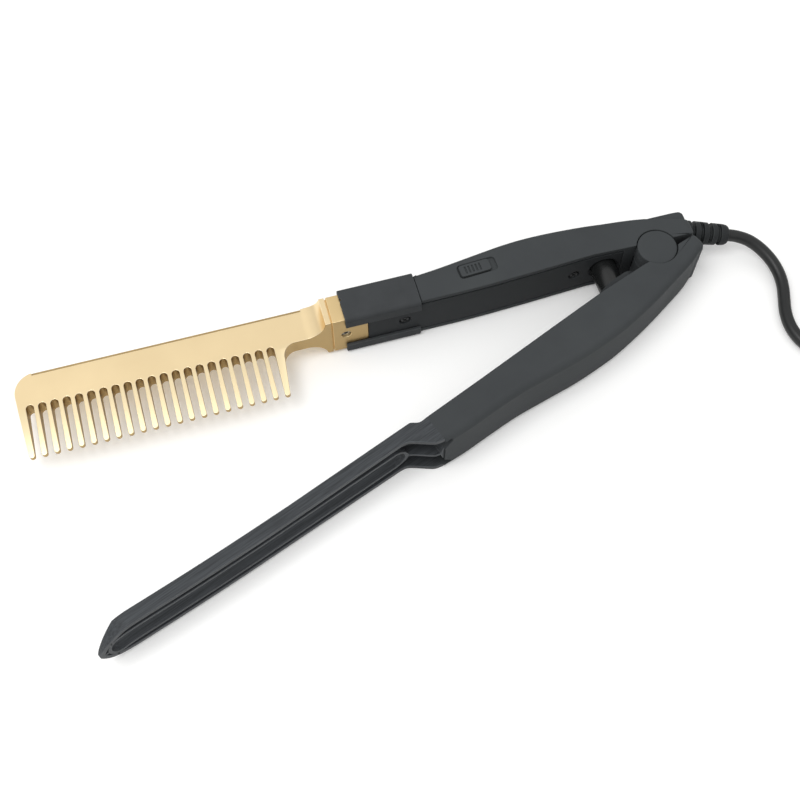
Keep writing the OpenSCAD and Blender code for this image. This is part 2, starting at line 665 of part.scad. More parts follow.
// ---------- hinge ----------
module hinge_pin() {
    color("#9A9C9E") {
        translate([0, 0, eye_low_z0]) cylinder(r = pin_r, h = cap_z0 - eye_low_z0);
        translate([0, 0, cap_z0]) cylinder(r = pin_head_r, h = pin_head_h);
        translate([0, 0, eye_low_z0 - pin_head_h]) cylinder(r = pin_head_r, h = pin_head_h);
    }
}

// A round cap with a broken edge and a recess over the pin's head
module hinge_cap(h) {
    c = 0.3;
    difference() {
        union() {
            cylinder(r = cap_r, h = h - c);
            translate([0, 0, h - c - eps]) cylinder(r1 = cap_r, r2 = cap_r - c, h = c + eps);
        }
        translate([0, 0, -eps]) cylinder(r = pin_head_r + 0.1, h = pin_head_h + 0.1);
    }
}

module hinge_cap_top() {
    color("#414446") translate([0, 0, cap_z0]) hinge_cap(cap_t);
}

module hinge_cap_bottom() {
    color("#414446") translate([0, 0, eye_low_z0]) mirror([0, 0, 1]) hinge_cap(eye_low_z0);
}

// ---------- spring ----------
sleeve_y1 = comb_inner_at(-sleeve_x);
sleeve_seat_y = comb_back_at(-sleeve_x) - 0.3;
cup_len = 4;
stem_d = 6;
spring_seat_y = -12.5;
module spring_sleeve() {
    color("#1C1D1E") translate([-sleeve_x, sleeve_y1 - sleeve_len, mid_z]) rotate([-90, 0, 0]) {
        y = sleeve_len + cover_t + 0.25;
        difference() {
            union() {
                cylinder(d = sleeve_d, h = y + eps);
                // Collar that stops the sleeve behind the cover
                translate([0, 0, y]) cylinder(d = sleeve_d + 2, h = cup_len);
                // Stem that stands on the shell's back wall
                translate([0, 0, y + cup_len - eps])
                    cylinder(d = stem_d, h = sleeve_seat_y - sleeve_y1 - cover_t - 0.25 - cup_len);
            }
            translate([0, 0, -1]) cylinder(d = sleeve_d - 2 * sleeve_t, h = y + cup_len - 0.9 + 1);
        }
    }
}

spring_y0 = spring_seat_y + 0.3;
spring_y1 = sleeve_y1 + cover_t + cup_len - 1;
spring_r = (spring_d - wire_d) / 2;
function spring_point(a) = [
    -sleeve_x + spring_r * cos(a),
    spring_y0 + wire_d / 2 + (spring_y1 - spring_y0 - wire_d) * a / (360 * spring_turns),
    mid_z + spring_r * sin(a)];
module return_spring() {
    color("#A8AAAC") tube([for (i = [0 : 12 * spring_turns]) spring_point(30 * i)], wire_d, 6, [0, 1, 0]);
}

// ---------- press arm ----------
press_outer = smooth(press_outer_keys, 3);

module swung_open() {
    rotate([0, 0, open_angle]) children();
}

module press_arm_outer() {
    inner = [for (p = press_outer) [p[0], press_inner_at(p[0])]];
    rounded_arm(
        [for (e = edge_levels) let (r = max(3 - e[0], 0.5)) concat(shifted(press_outer, e[0]),
            arc([press_tail_x - e[0] - r, -10.7 + e[0] + r], r, -72, 0, 3))],
        [for (e = edge_levels) let (r = max(1.2 - e[0], 0.1))
            concat(inner, flat_arc([press_tail_x - e[0] - r, press_tail_y - 1.2], r, 1.2, 90, 0, 3))],
        0, body_h);
}

module press_arm_shell() {
    cavity_front = [for (p = press_outer) if (p[0] < cavity_end_x) p + [0, wall]];
    color("#3C3F40") swung_open() {
        difference() {
            union() {
                press_arm_outer();
                hinge_eye(eye_low_z1 + turn_gap, eye_top_z0 - turn_gap);
            }
            translate([0, 0, wall]) linear_extrude(body_h - 2 * wall) polygon(concat(
                [[cavity_end_x, 2], [-jaw_root_x - 1, 2], [-jaw_root_x - 1, press_back_at(-jaw_root_x)]],
                cavity_front, [[cavity_end_x, press_back_at(cavity_end_x)]]));
            translate([0, 0, -1]) cylinder(r = cap_r + turn_gap, h = eye_low_z1 + turn_gap + 1);
            translate([0, 0, eye_top_z0 - turn_gap]) cylinder(r = cap_r + turn_gap, h = body_h);
            hinge_bore();
        }
        for (x = press_screw_x) press_boss(x);
        // Seat for the far end of the spring, long enough for it while the arm swings
        translate([-28, press_back_at(-28) - 0.3, mid_z - 3.5]) cube([12, spring_seat_y - press_back_at(-28) + 0.3, 7]);
    }
}

function press_inner_at(x) = inner_edge_y(x, press_inner);
function press_back_at(x) = outer_y(x, press_outer_keys) + wall;

module press_boss(x) {
    y1 = press_inner_at(-x) - cover_t - 0.25;
    y0 = press_back_at(-x) - 0.5;
    difference() {
        translate([-x, y0, mid_z]) rotate([-90, 0, 0]) cylinder(d = boss_d, h = y1 - y0);
        translate([-x, y1 + 1, mid_z]) rotate([90, 0, 0]) cylinder(d = screw_d + 0.1, h = cover_screw_len + 1);
    }
}

module press_arm_cover() {
    x_end = cavity_end_x - cover_gap;
    edge = concat([for (p = press_inner) if (p[0] < x_end) p], [[x_end, press_inner_at(x_end)]]);
    y = press_inner_at(-pocket_x);
    color("#2B2D2E") swung_open() difference() {
        union() {
            translate([0, 0, wall + cover_gap]) linear_extrude(body_h - 2 * wall - 2 * cover_gap)
                polygon(concat(back([for (p = edge) p - [0, cover_t]]), edge));
            // Collar round the spring pocket, flat on top and below
            intersection() {
                translate([-pocket_x, y - cover_t, mid_z]) rotate([-90, 0, 0]) cylinder(r = collar_r, h = cover_t + collar_h);
                translate([-60, -60, body_h - pocket_flat]) cube([60 + x_end, 120, 2 * pocket_flat - body_h]);
            }
        }
        translate([-pocket_x, y - cover_t - 1, mid_z]) rotate([-90, 0, 0]) cylinder(r = collar_bore, h = cover_t + 10);
        for (x = press_screw_x) cover_screw_hole(-x, press_inner_at(-x), -1);
    }
}

module press_cover_screws() {
    color("#55585A") swung_open() for (x = press_screw_x) cover_screw(-x, press_inner_at(-x), -1);
}

// ---------- press jaw ----------
jaw_inner = smooth(jaw_inner_keys, 3);
jaw_half = jaw_h / 2;
sweep_r = norm([tip_x(teeth - 1) - tip_half, tip_y_comb]);
slot_end_x = sweep_r + slot_clear;
slot_near_x = jaw_flare_x + 0.6;

// The jaw seen from above: straight walls, a prow at the tip and a flare at the handle
module jaw_plan() {
    outer = [for (p = jaw_inner) if (p[0] < -jaw_flare_x) p - [0, jaw_t]];
    polygon(concat(
        [[-jaw_root_x, -4.3], [-jaw_root_x - 3, -4.3], [-jaw_root_x - 5.6, -2.4]],
        back(jaw_inner),
        [[-jaw_tip_x + 6.5, -1.4], [-jaw_tip_x + 3.5, -2.6], [-jaw_tip_x + 1.2, -3.5], [-jaw_tip_x, -4.3],
         [-jaw_tip_x + 0.6, -5.1], [-jaw_tip_x + 3, -5.4], [-jaw_tip_x + 7, -5.3]],
        outer,
        [[-jaw_flare_x, -2.4 - jaw_t - 0.3], [-jaw_shoulder_x, -13.9], [-jaw_root_x, -14.9]]));
}

// The jaw seen from its outer side, as half heights about the middle
function jaw_top(x) = x < 170 ? body_h / 2 - (x - jaw_root_x) / (170 - jaw_root_x) * (body_h / 2 - jaw_half) : jaw_half;
module jaw_side(d, root_x) {
    r = (jaw_prow * jaw_prow + jaw_half * jaw_half) / (2 * jaw_half);
    x0 = -jaw_tip_x + jaw_prow;
    a = asin(jaw_prow / r);
    top = concat([[-root_x, min(body_h / 2, jaw_top(root_x)) - d], [-170, jaw_half - d]],
        [for (i = [0 : 10]) [x0 - (r - d) * sin(a * i / 10) + 0, jaw_half - r + (r - d) * cos(a * i / 10)]]);
    nose = [for (p = top) if (p[1] > 0.2) p];
    polygon(concat(nose, [for (p = back(nose)) [p[0], -p[1]]]));
}

module side_prism(y0, y1) {
    translate([0, y1, mid_z]) rotate([90, 0, 0]) linear_extrude(y1 - y0) children();
}

module slot_outline(d) {
    h = slot_h / 2 + d;
    x0 = -slot_end_x - d;
    x1 = -slot_near_x + d;
    translate([x0 + h * 0.8, 0]) scale([0.8, 1]) circle(r = h);
    translate([x1 - h, 0]) circle(r = h);
    translate([x0 + h * 0.8, -h]) square([x1 - x0 - 1.8 * h, 2 * h]);
}

module press_jaw() {
    color("#4A4D4F") swung_open() difference() {
        union() {
            // Shell of the channel
            intersection() {
                translate([0, 0, -1]) linear_extrude(body_h + 2) jaw_plan();
                side_prism(-30, 5) jaw_side(0, jaw_root_x);
            }
            // Tang inside the handle
            translate([-jaw_root_x - 1, -13.4, wall + 0.3]) cube([10.8, 7, body_h - 2 * wall - 0.6]);
        }
        // The channel, open to the outer side, with the slot's wall and its webs left standing
        difference() {
            intersection() {
                side_prism(-30, 5) jaw_side(flange_w, jaw_root_x + 1.2);
                translate([0, 0, -1]) linear_extrude(body_h + 2) channel_plan();
            }
            side_prism(-30, 5) slot_outline(slot_wall);
            translate([-jaw_tip_x, -30, mid_z - web_t / 2]) cube([jaw_tip_x - slot_end_x, 40, web_t]);
            translate([-slot_near_x - 1, -30, mid_z - web_t / 2]) cube([slot_near_x - jaw_root_x + 2, 40, web_t]);
        }
        // The slot itself
        side_prism(-30, 5) slot_outline(0);
        for (x = jaw_screw_x) translate([-x, -14, mid_z]) rotate([-90, 0, 0]) cylinder(d = screw_d + 0.1, h = 12);
    }
}

module channel_plan() {
    inner = [for (p = jaw_inner) if (p[0] < -jaw_flare_x + 2) p - [0, floor_t]];
    polygon(concat(
        [[-jaw_root_x - 1.2, -30], [-jaw_root_x - 1.2, -9.4]],
        back(inner),
        [[-jaw_tip_x + 7, -2.9], [-jaw_tip_x + 2.4, -4.4], [-jaw_tip_x + 2.4, -30]]));
}

jaw_screw_x = [jaw_root_x - 6];
module jaw_screws() {
    color("#9A9C9E") swung_open() for (x = jaw_screw_x)
        translate([-x, -13.9, mid_z]) rotate([-90, 0, 0]) cylinder(d = screw_d, h = 7);
}

// ---------- mains lead ----------
module strain_relief() {
    slot_pitch = (boot_len - 4) / boot_slots;
    color("#333536") translate(boot_at) rotate(boot_turn) rotate([0, 90, 0]) difference() {
        union() {
            translate([0, 0, boot_gap]) cylinder(d1 = boot_d, d2 = boot_d - 1, h = boot_len - 2 - boot_gap);
            translate([0, 0, boot_len - 2]) cylinder(d1 = boot_d - 1, d2 = boot_end_d - 1.2, h = 2);
            translate([0, 0, -boot_in]) cylinder(d = cord_d + 2.2, h = boot_in + boot_gap + 0.5);
        }
        // Slots cut from alternate sides
        for (i = [0 : boot_slots - 1]) translate([0, 0, 2.6 + i * slot_pitch])
            rotate([0, 0, i % 2 == 0 ? 10 : -110]) rotate_extrude(angle = 200)
                translate([cord_d / 2 + 0.4, 0]) square([4, 1.3]);
    }
}

// Where the strain relief ends, and the way it points there
boot_dir = [cos(boot_turn[1]) * cos(boot_turn[2]), cos(boot_turn[1]) * sin(boot_turn[2]), -sin(boot_turn[1])];
boot_tip = boot_at + boot_len * boot_dir;

// Free stretch of the lead, from the strain relief to the coil
coil_at = [coil_c[0] + coil_out_r * cos(coil_start), coil_c[1] + coil_out_r * sin(coil_start), coil_z];
coil_dir = [-sin(coil_start), cos(coil_start), 0];
cord_route = [
    boot_tip, boot_tip + 4 * unit(boot_dir - [0, 0.08, 0]),
    [41.55, 2.2, 7.6], [44.7, -1, 6.5], [47.05, -4.85, 5.4], [48.6, -9.1, 4.4], [49.2, -14.05, 3.5],
    [48.6, -19, 2.85], [47.15, -23.8, cord_z], [45.5, -28.5, cord_z], [44.5, -33.4, cord_z],
    [44.6, -38.4, cord_z], [45.9, -43.2, cord_z], [48.5, -47.3, cord_z], [52.1, -50.4, cord_z],
    [56.3, -52.8, cord_z], [60.9, -54.9, cord_z], [66, -57, 2.6], [71.2, -59.8, 2.9],
    coil_at - 1.2 * cord_d * coil_dir, coil_at];

module mains_cord() {
    color("#1E1F20") tube(cord_route, cord_d, 12);
}

// The coil: in along the floor, up a layer in the half turn where the spiral turns back, out
// again, and so on. The half turns bow away from the other turns by coil_bow.
coil_bow = 0.8;
layer_turn = 360 * coil_turns;
coil_total = coil_layers * layer_turn + 180 * (coil_layers - 1);
function coil_layer(a) = floor(a / (layer_turn + 180));
function coil_part(a) = a - coil_layer(a) * (layer_turn + 180);
function coil_r(k, b) = let (bow = b > layer_turn ? coil_bow * sin(b - layer_turn) : 0, c = min(b, layer_turn))
    k % 2 == 0 ? coil_out_r - coil_pitch * c / 360 - bow : coil_in_r + coil_pitch * c / 360 + bow;
function coil_h(k, b) = coil_pitch * (k + max(b - layer_turn, 0) / 180);
function coil_point(a) = let (k = coil_layer(a), b = coil_part(a)) [
    coil_c[0] + coil_r(k, b) * cos(coil_start + a), coil_c[1] + coil_r(k, b) * sin(coil_start + a),
    coil_z + coil_h(k, b)];
coil_step = 360 / coil_rings;
coil_points = [for (i = [0 : coil_total / coil_step]) coil_point(i * coil_step)];
end_dir = [-sin(coil_start + coil_total), cos(coil_start + coil_total), 0];
// From the last turn the lead runs out straight and comes down to the plug
coil_end = coil_points[len(coil_points) - 1];
drop_len = 50;
drop = coil_end[2] - plug_half;
drop_points = [for (t = [0.1 : 0.1 : 1.01]) coil_end + drop_len * t * end_dir - [0, 0, drop * (3 - 2 * t) * t * t]];
drop_end = drop_points[len(drop_points) - 1];
coil_path = concat([coil_at, coil_at + 0.3 * cord_d * coil_dir],
    [for (i = [1 : len(coil_points) - 1]) coil_points[i]], drop_points, [drop_end + cord_d * end_dir]);
// Least gap between two turns, measured on the path's points more than a quarter turn apart
near = coil_rings / 4;
least = min([for (i = [0 : len(coil_path) - 1], j = [i + near : 1 : len(coil_path) - 1])
    norm(coil_path[i] - coil_path[j])]);
echo(least_gap_of_coil = least - cord_d);

module cord_coil() {
    color("#1E1F20") tube(coil_path, cord_d, 6);
}

// A flat tie round all the turns at one place
tie_angle = 300;
module coil_tie() {
    r0 = coil_in_r - coil_bow - cord_d / 2 - tie_gap;
    r1 = coil_out_r + coil_bow + cord_d / 2 + tie_gap;
    z1 = coil_z + coil_pitch * (coil_layers - 1) + cord_d / 2 + tie_gap;
    color("#151515") translate([coil_c[0], coil_c[1], 0]) rotate([0, 0, tie_angle]) difference() {
        translate([r0 - tie_t, -tie_w / 2, 0]) cube([r1 - r0 + 2 * tie_t, tie_w, z1 + tie_t]);
        translate([r0, -tie_w / 2 - 1, tie_t]) cube([r1 - r0, tie_w + 2, z1 - tie_t]);
    }
}

plug_at = drop_end + cord_d * end_dir;
module plug_place() {
    translate(plug_at)
        rotate([0, 0, atan2(end_dir[1], end_dir[0])]) rotate([0, 90, 0]) children();
}

module plug_body() {
    h = 2 * plug_half;
    color("#1E1F20") plug_place() difference() {
        union() {
            cylinder(d1 = cord_d + 1.6, d2 = 9, h = plug_neck + eps);
            // Body: a rounded block, wider across than it is deep
            translate([0, 0, plug_neck]) intersection() {
                linear_extrude(plug_len) {
                    square([h, plug_w - 7], center = true);
                    square([h - 7, plug_w], center = true);
                    for (x = [-1, 1], y = [-1, 1])
                        translate([x * (h / 2 - 3.5), y * (plug_w / 2 - 3.5)]) circle(r = 3.5, $fn = 32);
                }
                rotate([90, 0, 90]) translate([0, 0, -20]) linear_extrude(40) polygon([
                    [-5, 0], [5, 0], [plug_w / 2, 9], [plug_w / 2, plug_len], [-plug_w / 2, plug_len], [-plug_w / 2, 9]]);
            }
        }
        for (i = [0 : 2]) translate([0, 0, 4 + 4 * i]) difference() {
            cylinder(r = 6, h = 1.4);
            translate([0, 0, -1]) cylinder(r = cord_d / 2 + 0.4, h = 4);
        }
        for (s = [-1, 1]) translate([-3.3, s * 6.35 - 0.9, plug_neck + plug_len - 6]) cube([6.6, 1.8, 7]);
    }
}

module plug_pins() {
    color("#C9CBCC") plug_place() for (s = [-1, 1])
        translate([-3.2, s * 6.35 - 0.75, plug_neck + plug_len - 5.9]) cube([6.4, 1.5, 5.9 + 16]);
}

comb();
heater_block();
set_screw();
heater_rod();
thermal_fuse();
heat_guard();
comb_arm_shell();
comb_arm_cover();
comb_cover_screws();
switch_knob();
switch_body();
circuit_board();
heater_leads();
supply_leads();
hinge_pin();
hinge_cap_top();
hinge_cap_bottom();
spring_sleeve();
return_spring();
press_arm_shell();
press_arm_cover();
press_cover_screws();
press_jaw();
jaw_screws();
strain_relief();
mains_cord();
cord_coil();
coil_tie();
plug_body();
plug_pins();
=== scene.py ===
import math

import bmesh
import bpy
from mathutils import Matrix, Vector


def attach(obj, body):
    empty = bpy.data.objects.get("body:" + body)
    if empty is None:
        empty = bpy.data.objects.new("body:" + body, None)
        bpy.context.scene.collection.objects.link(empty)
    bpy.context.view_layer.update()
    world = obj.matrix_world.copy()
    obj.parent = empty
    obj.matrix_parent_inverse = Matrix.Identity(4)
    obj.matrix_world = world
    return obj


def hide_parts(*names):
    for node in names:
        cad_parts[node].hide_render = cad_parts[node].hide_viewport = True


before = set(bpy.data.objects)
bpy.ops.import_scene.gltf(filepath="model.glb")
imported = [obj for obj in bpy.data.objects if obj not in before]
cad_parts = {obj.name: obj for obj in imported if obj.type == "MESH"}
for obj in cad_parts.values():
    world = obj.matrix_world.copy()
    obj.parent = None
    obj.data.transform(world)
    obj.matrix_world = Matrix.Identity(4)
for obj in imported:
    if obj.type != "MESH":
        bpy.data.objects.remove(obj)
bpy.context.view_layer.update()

# A heated pressing comb with a hinged press arm, dressed for the photograph. Lengths below are in
# millimetres and angles in degrees. +Z is up, the comb points along -X, and the origin is on the
# hinge axis at the table's surface. The press arm is drawn closed and swung open.

MM = 0.001

# ---------- measures shared with the CAD source ----------
# Those named SEEN are the scene's own: a seam and a step drawn larger than they are, to show.
BODY_H, WALL, COVER_T, COVER_GAP, SEEN_GAP, EDGE_R = 23.2, 1.9, 1.8, 0.1, 0.7, 2.8
ARM_INSET, OPEN_ANGLE = 0.6, 21.5
MID_Z = BODY_H / 2
ARM_Z0, ARM_Z1 = ARM_INSET, BODY_H - ARM_INSET
CAP_R, CAP_T, EYE_H, TURN_GAP, PIN_BORE = 7.45, 2.6, 4.4, 0.3, 2.55
CAP_Z0 = ARM_Z1 - CAP_T
EYE_LOW_Z0 = CAP_T + ARM_INSET
CAVITY_Z0, CAVITY_Z1 = ARM_Z0 + WALL, ARM_Z1 - WALL
CAVITY_END_X = -12

TEETH, TOOTH_PITCH, TOOTH_GAP, TOOTH_LEN, TIP_W, ROOT_IN = 22, 4.4, 2.9, 19.8, 2, 0.4
BLADE_T, TIP_T, BLADE_W, FIRST_GAP_X, END_TOOTH = 6.6, 1.8, 12.9, 149.7, 3.2
CORNER_R, COVE_R, FLANGE_T, STEP_W, SEEN_STEP = 8, 8, 2, 1.1, 0.6
BLOCK_X, BLOCK_LEN, BLOCK_W, SEAM_W = 126.2, 13.8, 11.4, 0.5
HEATER_BORE, SET_SCREW_D = 6.1, 3.8
GUARD_T, GUARD_GAP, GUARD_LEN, GUARD_LIP, GUARD_R = 1.2, 0.1, 28.8, 5.2, 1.8
NOTCH_Y0, NOTCH_Y1, NOTCH_LEN = 8.6, 9.6, 0.6
INNER_Y = 0.8
BLOCK_Y1 = INNER_Y + BLOCK_W
BLOCK_BACK_X = BLOCK_X - BLOCK_LEN
BLOCK_Z0, BLOCK_Z1 = GUARD_T + GUARD_GAP, BODY_H - GUARD_T - GUARD_GAP
GUARD_FRONT_X = BLOCK_X - 5.2
HANDLE_X = GUARD_FRONT_X - GUARD_LEN - TURN_GAP
TAIL_X, HEEL_Y, HEEL_Z = 16.5, 15.5, 18.6

COMB_INNER = [(-HANDLE_X, 0.8), (-77, 0.8), (-66, 1.0), (-48, 1.8), (-31, 2.7), (-24, 3.1), (-10, 2.6),
              (8, 2.4), (TAIL_X, 2.3)]
COMB_OUTER = [(-HANDLE_X, 13.0), (-82, 14.0), (-70, 15.6), (-57, 17.3), (-47, 18.0), (-36, 17.9),
              (-24, 17.2), (-13, 16.1), (-2, HEEL_Y), (5, HEEL_Y), (TAIL_X - 4, HEEL_Y)]
HEEL_CUT = [(-26, 17.9), (-19, 16.8), (-12, 15.6), (-2, 13.7), (7, 11.3), (TAIL_X + 1, 8.2)]

JAW_TIP_X, JAW_ROOT_X, JAW_T, JAW_H, FLANGE_W, FLOOR_T = 248, 113, 5.1, 20.2, 1.9, 1.6
SLOT_H, SLOT_WALL, SLOT_END_X, SLOT_NEAR_X, WEB_T, JAW_PROW = 9.4, 1.2, 243.12, 124.6, 1.1, 15
JAW_FLARE_X, JAW_SHOULDER_X, JAW_TAPER_X = 124, 116.5, 170
JAW_INNER = [(-238, 0), (-232, -0.1), (-221, -0.6), (-206, -1.2), (-191, -1.6), (-173, -1.9),
             (-150, -2.1), (-130, -2.3), (-120, -2.4)]
PRESS_INNER = [(-JAW_ROOT_X, -4.3), (-89, -3.9), (-56, -3.1), (-42, -2.8), (-31, -2.6), (-10, -3.1),
               (8, -4.1), (15.6, -4.4)]
PRESS_OUTER = [(-JAW_ROOT_X, -15.6), (-104, -16.2), (-92, -16.2), (-80, -16.4), (-68, -17.5),
               (-54, -18.9), (-42, -19.3), (-32, -19.0), (-18, -17.3), (-6, -15.1), (6, -12.6), (12, -10.6)]
PRESS_TAIL_X, PRESS_TAIL_Y = 15.6, -4.4

SLEEVE_X, SLEEVE_D, SLEEVE_LEN, SLEEVE_T = 19, 10, 13, 0.9
COLLAR_R, COLLAR_BORE, COLLAR_H, COLLAR_FLAT = 10.2, 6.6, 2.5, 9.2
SWITCH_X, SWITCH_Y, SWITCH_TILT = -67.9, 9.3, 3
RECESS_LEN, RECESS_W, RECESS_D, KNOB_LEN, KNOB_GAP, KNOB_PROUD = 14.8, 5.9, 1, 12.2, 0.3, 0.5
GROOVES, GROOVE_PITCH, GROOVE_W, GROOVE_D, GROOVE_X = 5, 1.4, 0.6, 0.6, -3.6
COMB_SCREW_X, PRESS_SCREW_X = (98.2, 30.7), (100, 40)
SCREW_RECESS_D, SCREW_HEAD_D, SCREW_D = 4.6, 4, 2

CORD_D, BOOT_D, BOOT_LEN, BOOT_GAP, BOOT_IN, BOOT_SLOTS = 4.8, 9.2, 18, 1.45, 5, 4
BOOT_AT = Vector((TAIL_X, 10.2, MID_Z))
BOOT_DIP, BOOT_TURN, BOOT_SLOT_W = math.radians(8), math.radians(-14.5), 1.5
BOOT_DIR = Vector((math.cos(BOOT_DIP) * math.cos(BOOT_TURN), math.cos(BOOT_DIP) * math.sin(BOOT_TURN),
                   -math.sin(BOOT_DIP)))
COIL_C, COIL_PITCH, COIL_IN_R, COIL_TURNS, COIL_LAYERS, COIL_BOW = (108, -46), 5.4, 20, 2.625, 4, 0.8
COIL_START, COIL_RINGS, TIE_T, TIE_W, TIE_GAP, TIE_ANGLE = 225, 24, 0.6, 9, 0.4, 300
COIL_Z = TIE_T + TIE_GAP + CORD_D / 2
COIL_OUT_R = COIL_IN_R + COIL_TURNS * COIL_PITCH
PLUG_HALF, PLUG_NECK, PLUG_LEN, PLUG_W, DROP_LEN = 8.4, 16, 26, 19, 50
PIN_OFF, PIN_HALF_T, PIN_HALF_W, PIN_SEAT, PIN_LEN = 6.35, 0.75, 3.2, 5.9, 21.9


# ---------- curves and outlines ----------
def smooth(keys, steps):
    """Points of a smooth curve through keys, with so many steps between two of them."""
    keys = [Vector(k) for k in keys]
    points = []
    for i in range(len(keys) - 1):
        p, q, r, s = (keys[min(max(i + k, 0), len(keys) - 1)] for k in (-1, 0, 1, 2))
        for t in (j / steps for j in range(steps)):
            points.append(0.5 * (2 * q + (r - p) * t + (2 * p - 5 * q + 4 * r - s) * t ** 2
                                 + (3 * q - p - 3 * r + s) * t ** 3))
    return points + [keys[-1]]


def arc(x, y, rx, ry, start, end, steps):
    """Points of an elliptic arc."""
    angles = [math.radians(start + (end - start) * i / steps) for i in range(steps + 1)]
    return [Vector((x + rx * math.cos(a), y + ry * math.sin(a))) for a in angles]


def rounded_box(width, height, radius, steps=6):
    """Outline of a rectangle with round corners, about its middle."""
    w, h = width / 2 - radius, height / 2 - radius
    return [p for x, y, a in ((w, h, 0), (-w, h, 90), (-w, -h, 180), (w, -h, 270))
            for p in arc(x, y, radius, radius, a, a + 90, steps)]


def edge_at(keys, x):
    """Y of a line of straight stretches at x."""
    for p, q in zip(keys, keys[1:]):
        if p[0] <= x <= q[0]:
            return p[1] + (q[1] - p[1]) * (x - p[0]) / (q[0] - p[0])
    return keys[0][1] if x < keys[0][0] else keys[-1][1]


# ---------- camera: it looks down on the tool from the press arm's side ----------
def camera():
    eye = Vector((-161.7, -219.7, 398.5)) * MM
    look = Vector((0.1215, 0.4354, -0.8920)).normalized()
    right = Vector((0.9632, -0.2688, 0)).normalized()
    up = right.cross(look)
    made = bpy.data.objects.new("camera", bpy.data.cameras.new("camera"))
    made.data.lens, made.data.sensor_width = 54, 36
    made.data.clip_start = 0.01
    made.matrix_world = Matrix((
        (right.x, up.x, -look.x, eye.x), (right.y, up.y, -look.y, eye.y),
        (right.z, up.z, -look.z, eye.z), (0, 0, 0, 1)))
    bpy.context.scene.collection.objects.link(made)
    bpy.context.scene.camera = made


camera()


# ---------- route of the mains lead, as in the CAD source ----------
def coil_spot(angle):
    """A point of the coil: in along the floor, up a layer where the spiral turns back, out again."""
    layer_turn = 360 * COIL_TURNS
    layer = math.floor(angle / (layer_turn + 180))
    part = angle - layer * (layer_turn + 180)
    wound = COIL_PITCH * min(part, layer_turn) / 360
    bow = COIL_BOW * math.sin(math.radians(part - layer_turn)) if part > layer_turn else 0
    radius = COIL_OUT_R - wound - bow if layer % 2 == 0 else COIL_IN_R + wound + bow
    height = COIL_PITCH * (layer + max(part - layer_turn, 0) / 180)
    a = math.radians(COIL_START + angle)
    return Vector((COIL_C[0] + radius * math.cos(a), COIL_C[1] + radius * math.sin(a), COIL_Z + height))


def coil_heading(angle):
    a = math.radians(COIL_START + angle)
    return Vector((-math.sin(a), math.cos(a), 0))


BOOT_TIP = BOOT_AT + BOOT_LEN * BOOT_DIR
COIL_TOTAL = 360 * COIL_TURNS * COIL_LAYERS + 180 * (COIL_LAYERS - 1)
END_DIR = coil_heading(COIL_TOTAL)


def lead_route():
    """From the strain relief down to the floor, into the coil, and down from it to the plug."""
    floor = CORD_D / 2
    free = [BOOT_TIP, BOOT_TIP + 4 * (BOOT_DIR - Vector((0, 0.08, 0))).normalized(),
            (41.55, 2.2, 7.6), (44.7, -1, 6.5), (47.05, -4.85, 5.4), (48.6, -9.1, 4.4), (49.2, -14.05, 3.5),
            (48.6, -19, 2.85), (47.15, -23.8, floor), (45.5, -28.5, floor), (44.5, -33.4, floor),
            (44.6, -38.4, floor), (45.9, -43.2, floor), (48.5, -47.3, floor), (52.1, -50.4, floor),
            (56.3, -52.8, floor), (60.9, -54.9, floor), (66, -57, 2.6), (71.2, -59.8, 2.9),
            coil_spot(0) - 1.2 * CORD_D * coil_heading(0), coil_spot(0)]
    step = 360 / COIL_RINGS
    wound = [coil_spot(i * step) for i in range(1, int(COIL_TOTAL / step + 1e-6) + 1)]
    top = wound[-1]
    drop = [top + DROP_LEN * t / 10 * END_DIR
            - Vector((0, 0, (top.z - PLUG_HALF) * (3 - 2 * t / 10) * (t / 10) ** 2)) for t in range(1, 11)]
    return free + wound + drop + [drop[-1] + CORD_D * END_DIR]


LEAD = smooth(lead_route(), 3)
LEAD_LENGTH = sum((q - p).length for p, q in zip(LEAD, LEAD[1:]))
PLUG_AT = LEAD[-1]


def mains_cord():
    line = bpy.data.curves.new("mains_cord", "CURVE")
    line.dimensions = "3D"
    spline = line.splines.new("POLY")
    spline.points.add(len(LEAD) - 1)
    for spot, p in zip(spline.points, LEAD):
        spot.co = (*(p * MM), 1)
        spot.radius = CORD_D / 2 * MM
    line.bevel_depth = 1
    line.bevel_resolution = 5
    line.use_fill_caps = True
    made = bpy.data.objects.new("mains_cord_line", line)
    bpy.context.scene.collection.objects.link(made)
    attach(made, "comb_arm")
    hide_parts("mains_cord", "cord_coil")
    return made


# ---------- solids ----------
WELD, FLAT, SEAM_NEAR = 0.004, 0.3, 0.05      # millimetres, degrees, millimetres


def edited(target, edit):
    """Lets edit work on the target's mesh."""
    bm = bmesh.new()
    bm.from_mesh(target.data)
    edit(bm)
    bm.to_mesh(target.data)
    bm.free()
    return target


def outward(target):
    """Turns the skin's faces outward."""
    return edited(target, lambda bm: bmesh.ops.recalc_face_normals(bm, faces=bm.faces))


def applied(target):
    """Makes the shape that the target's modifiers give its own."""
    shaped = target.evaluated_get(bpy.context.evaluated_depsgraph_get())
    mesh = bpy.data.meshes.new_from_object(shaped)
    target.modifiers.clear()
    target.data = mesh
    return target


def solid(name, points, faces):
    """A mesh object from points in millimetres."""
    mesh = bpy.data.meshes.new(name)
    mesh.from_pydata([Vector(p) * MM for p in points], [], faces)
    made = bpy.data.objects.new(name, mesh)
    bpy.context.scene.collection.objects.link(made)
    return outward(made)


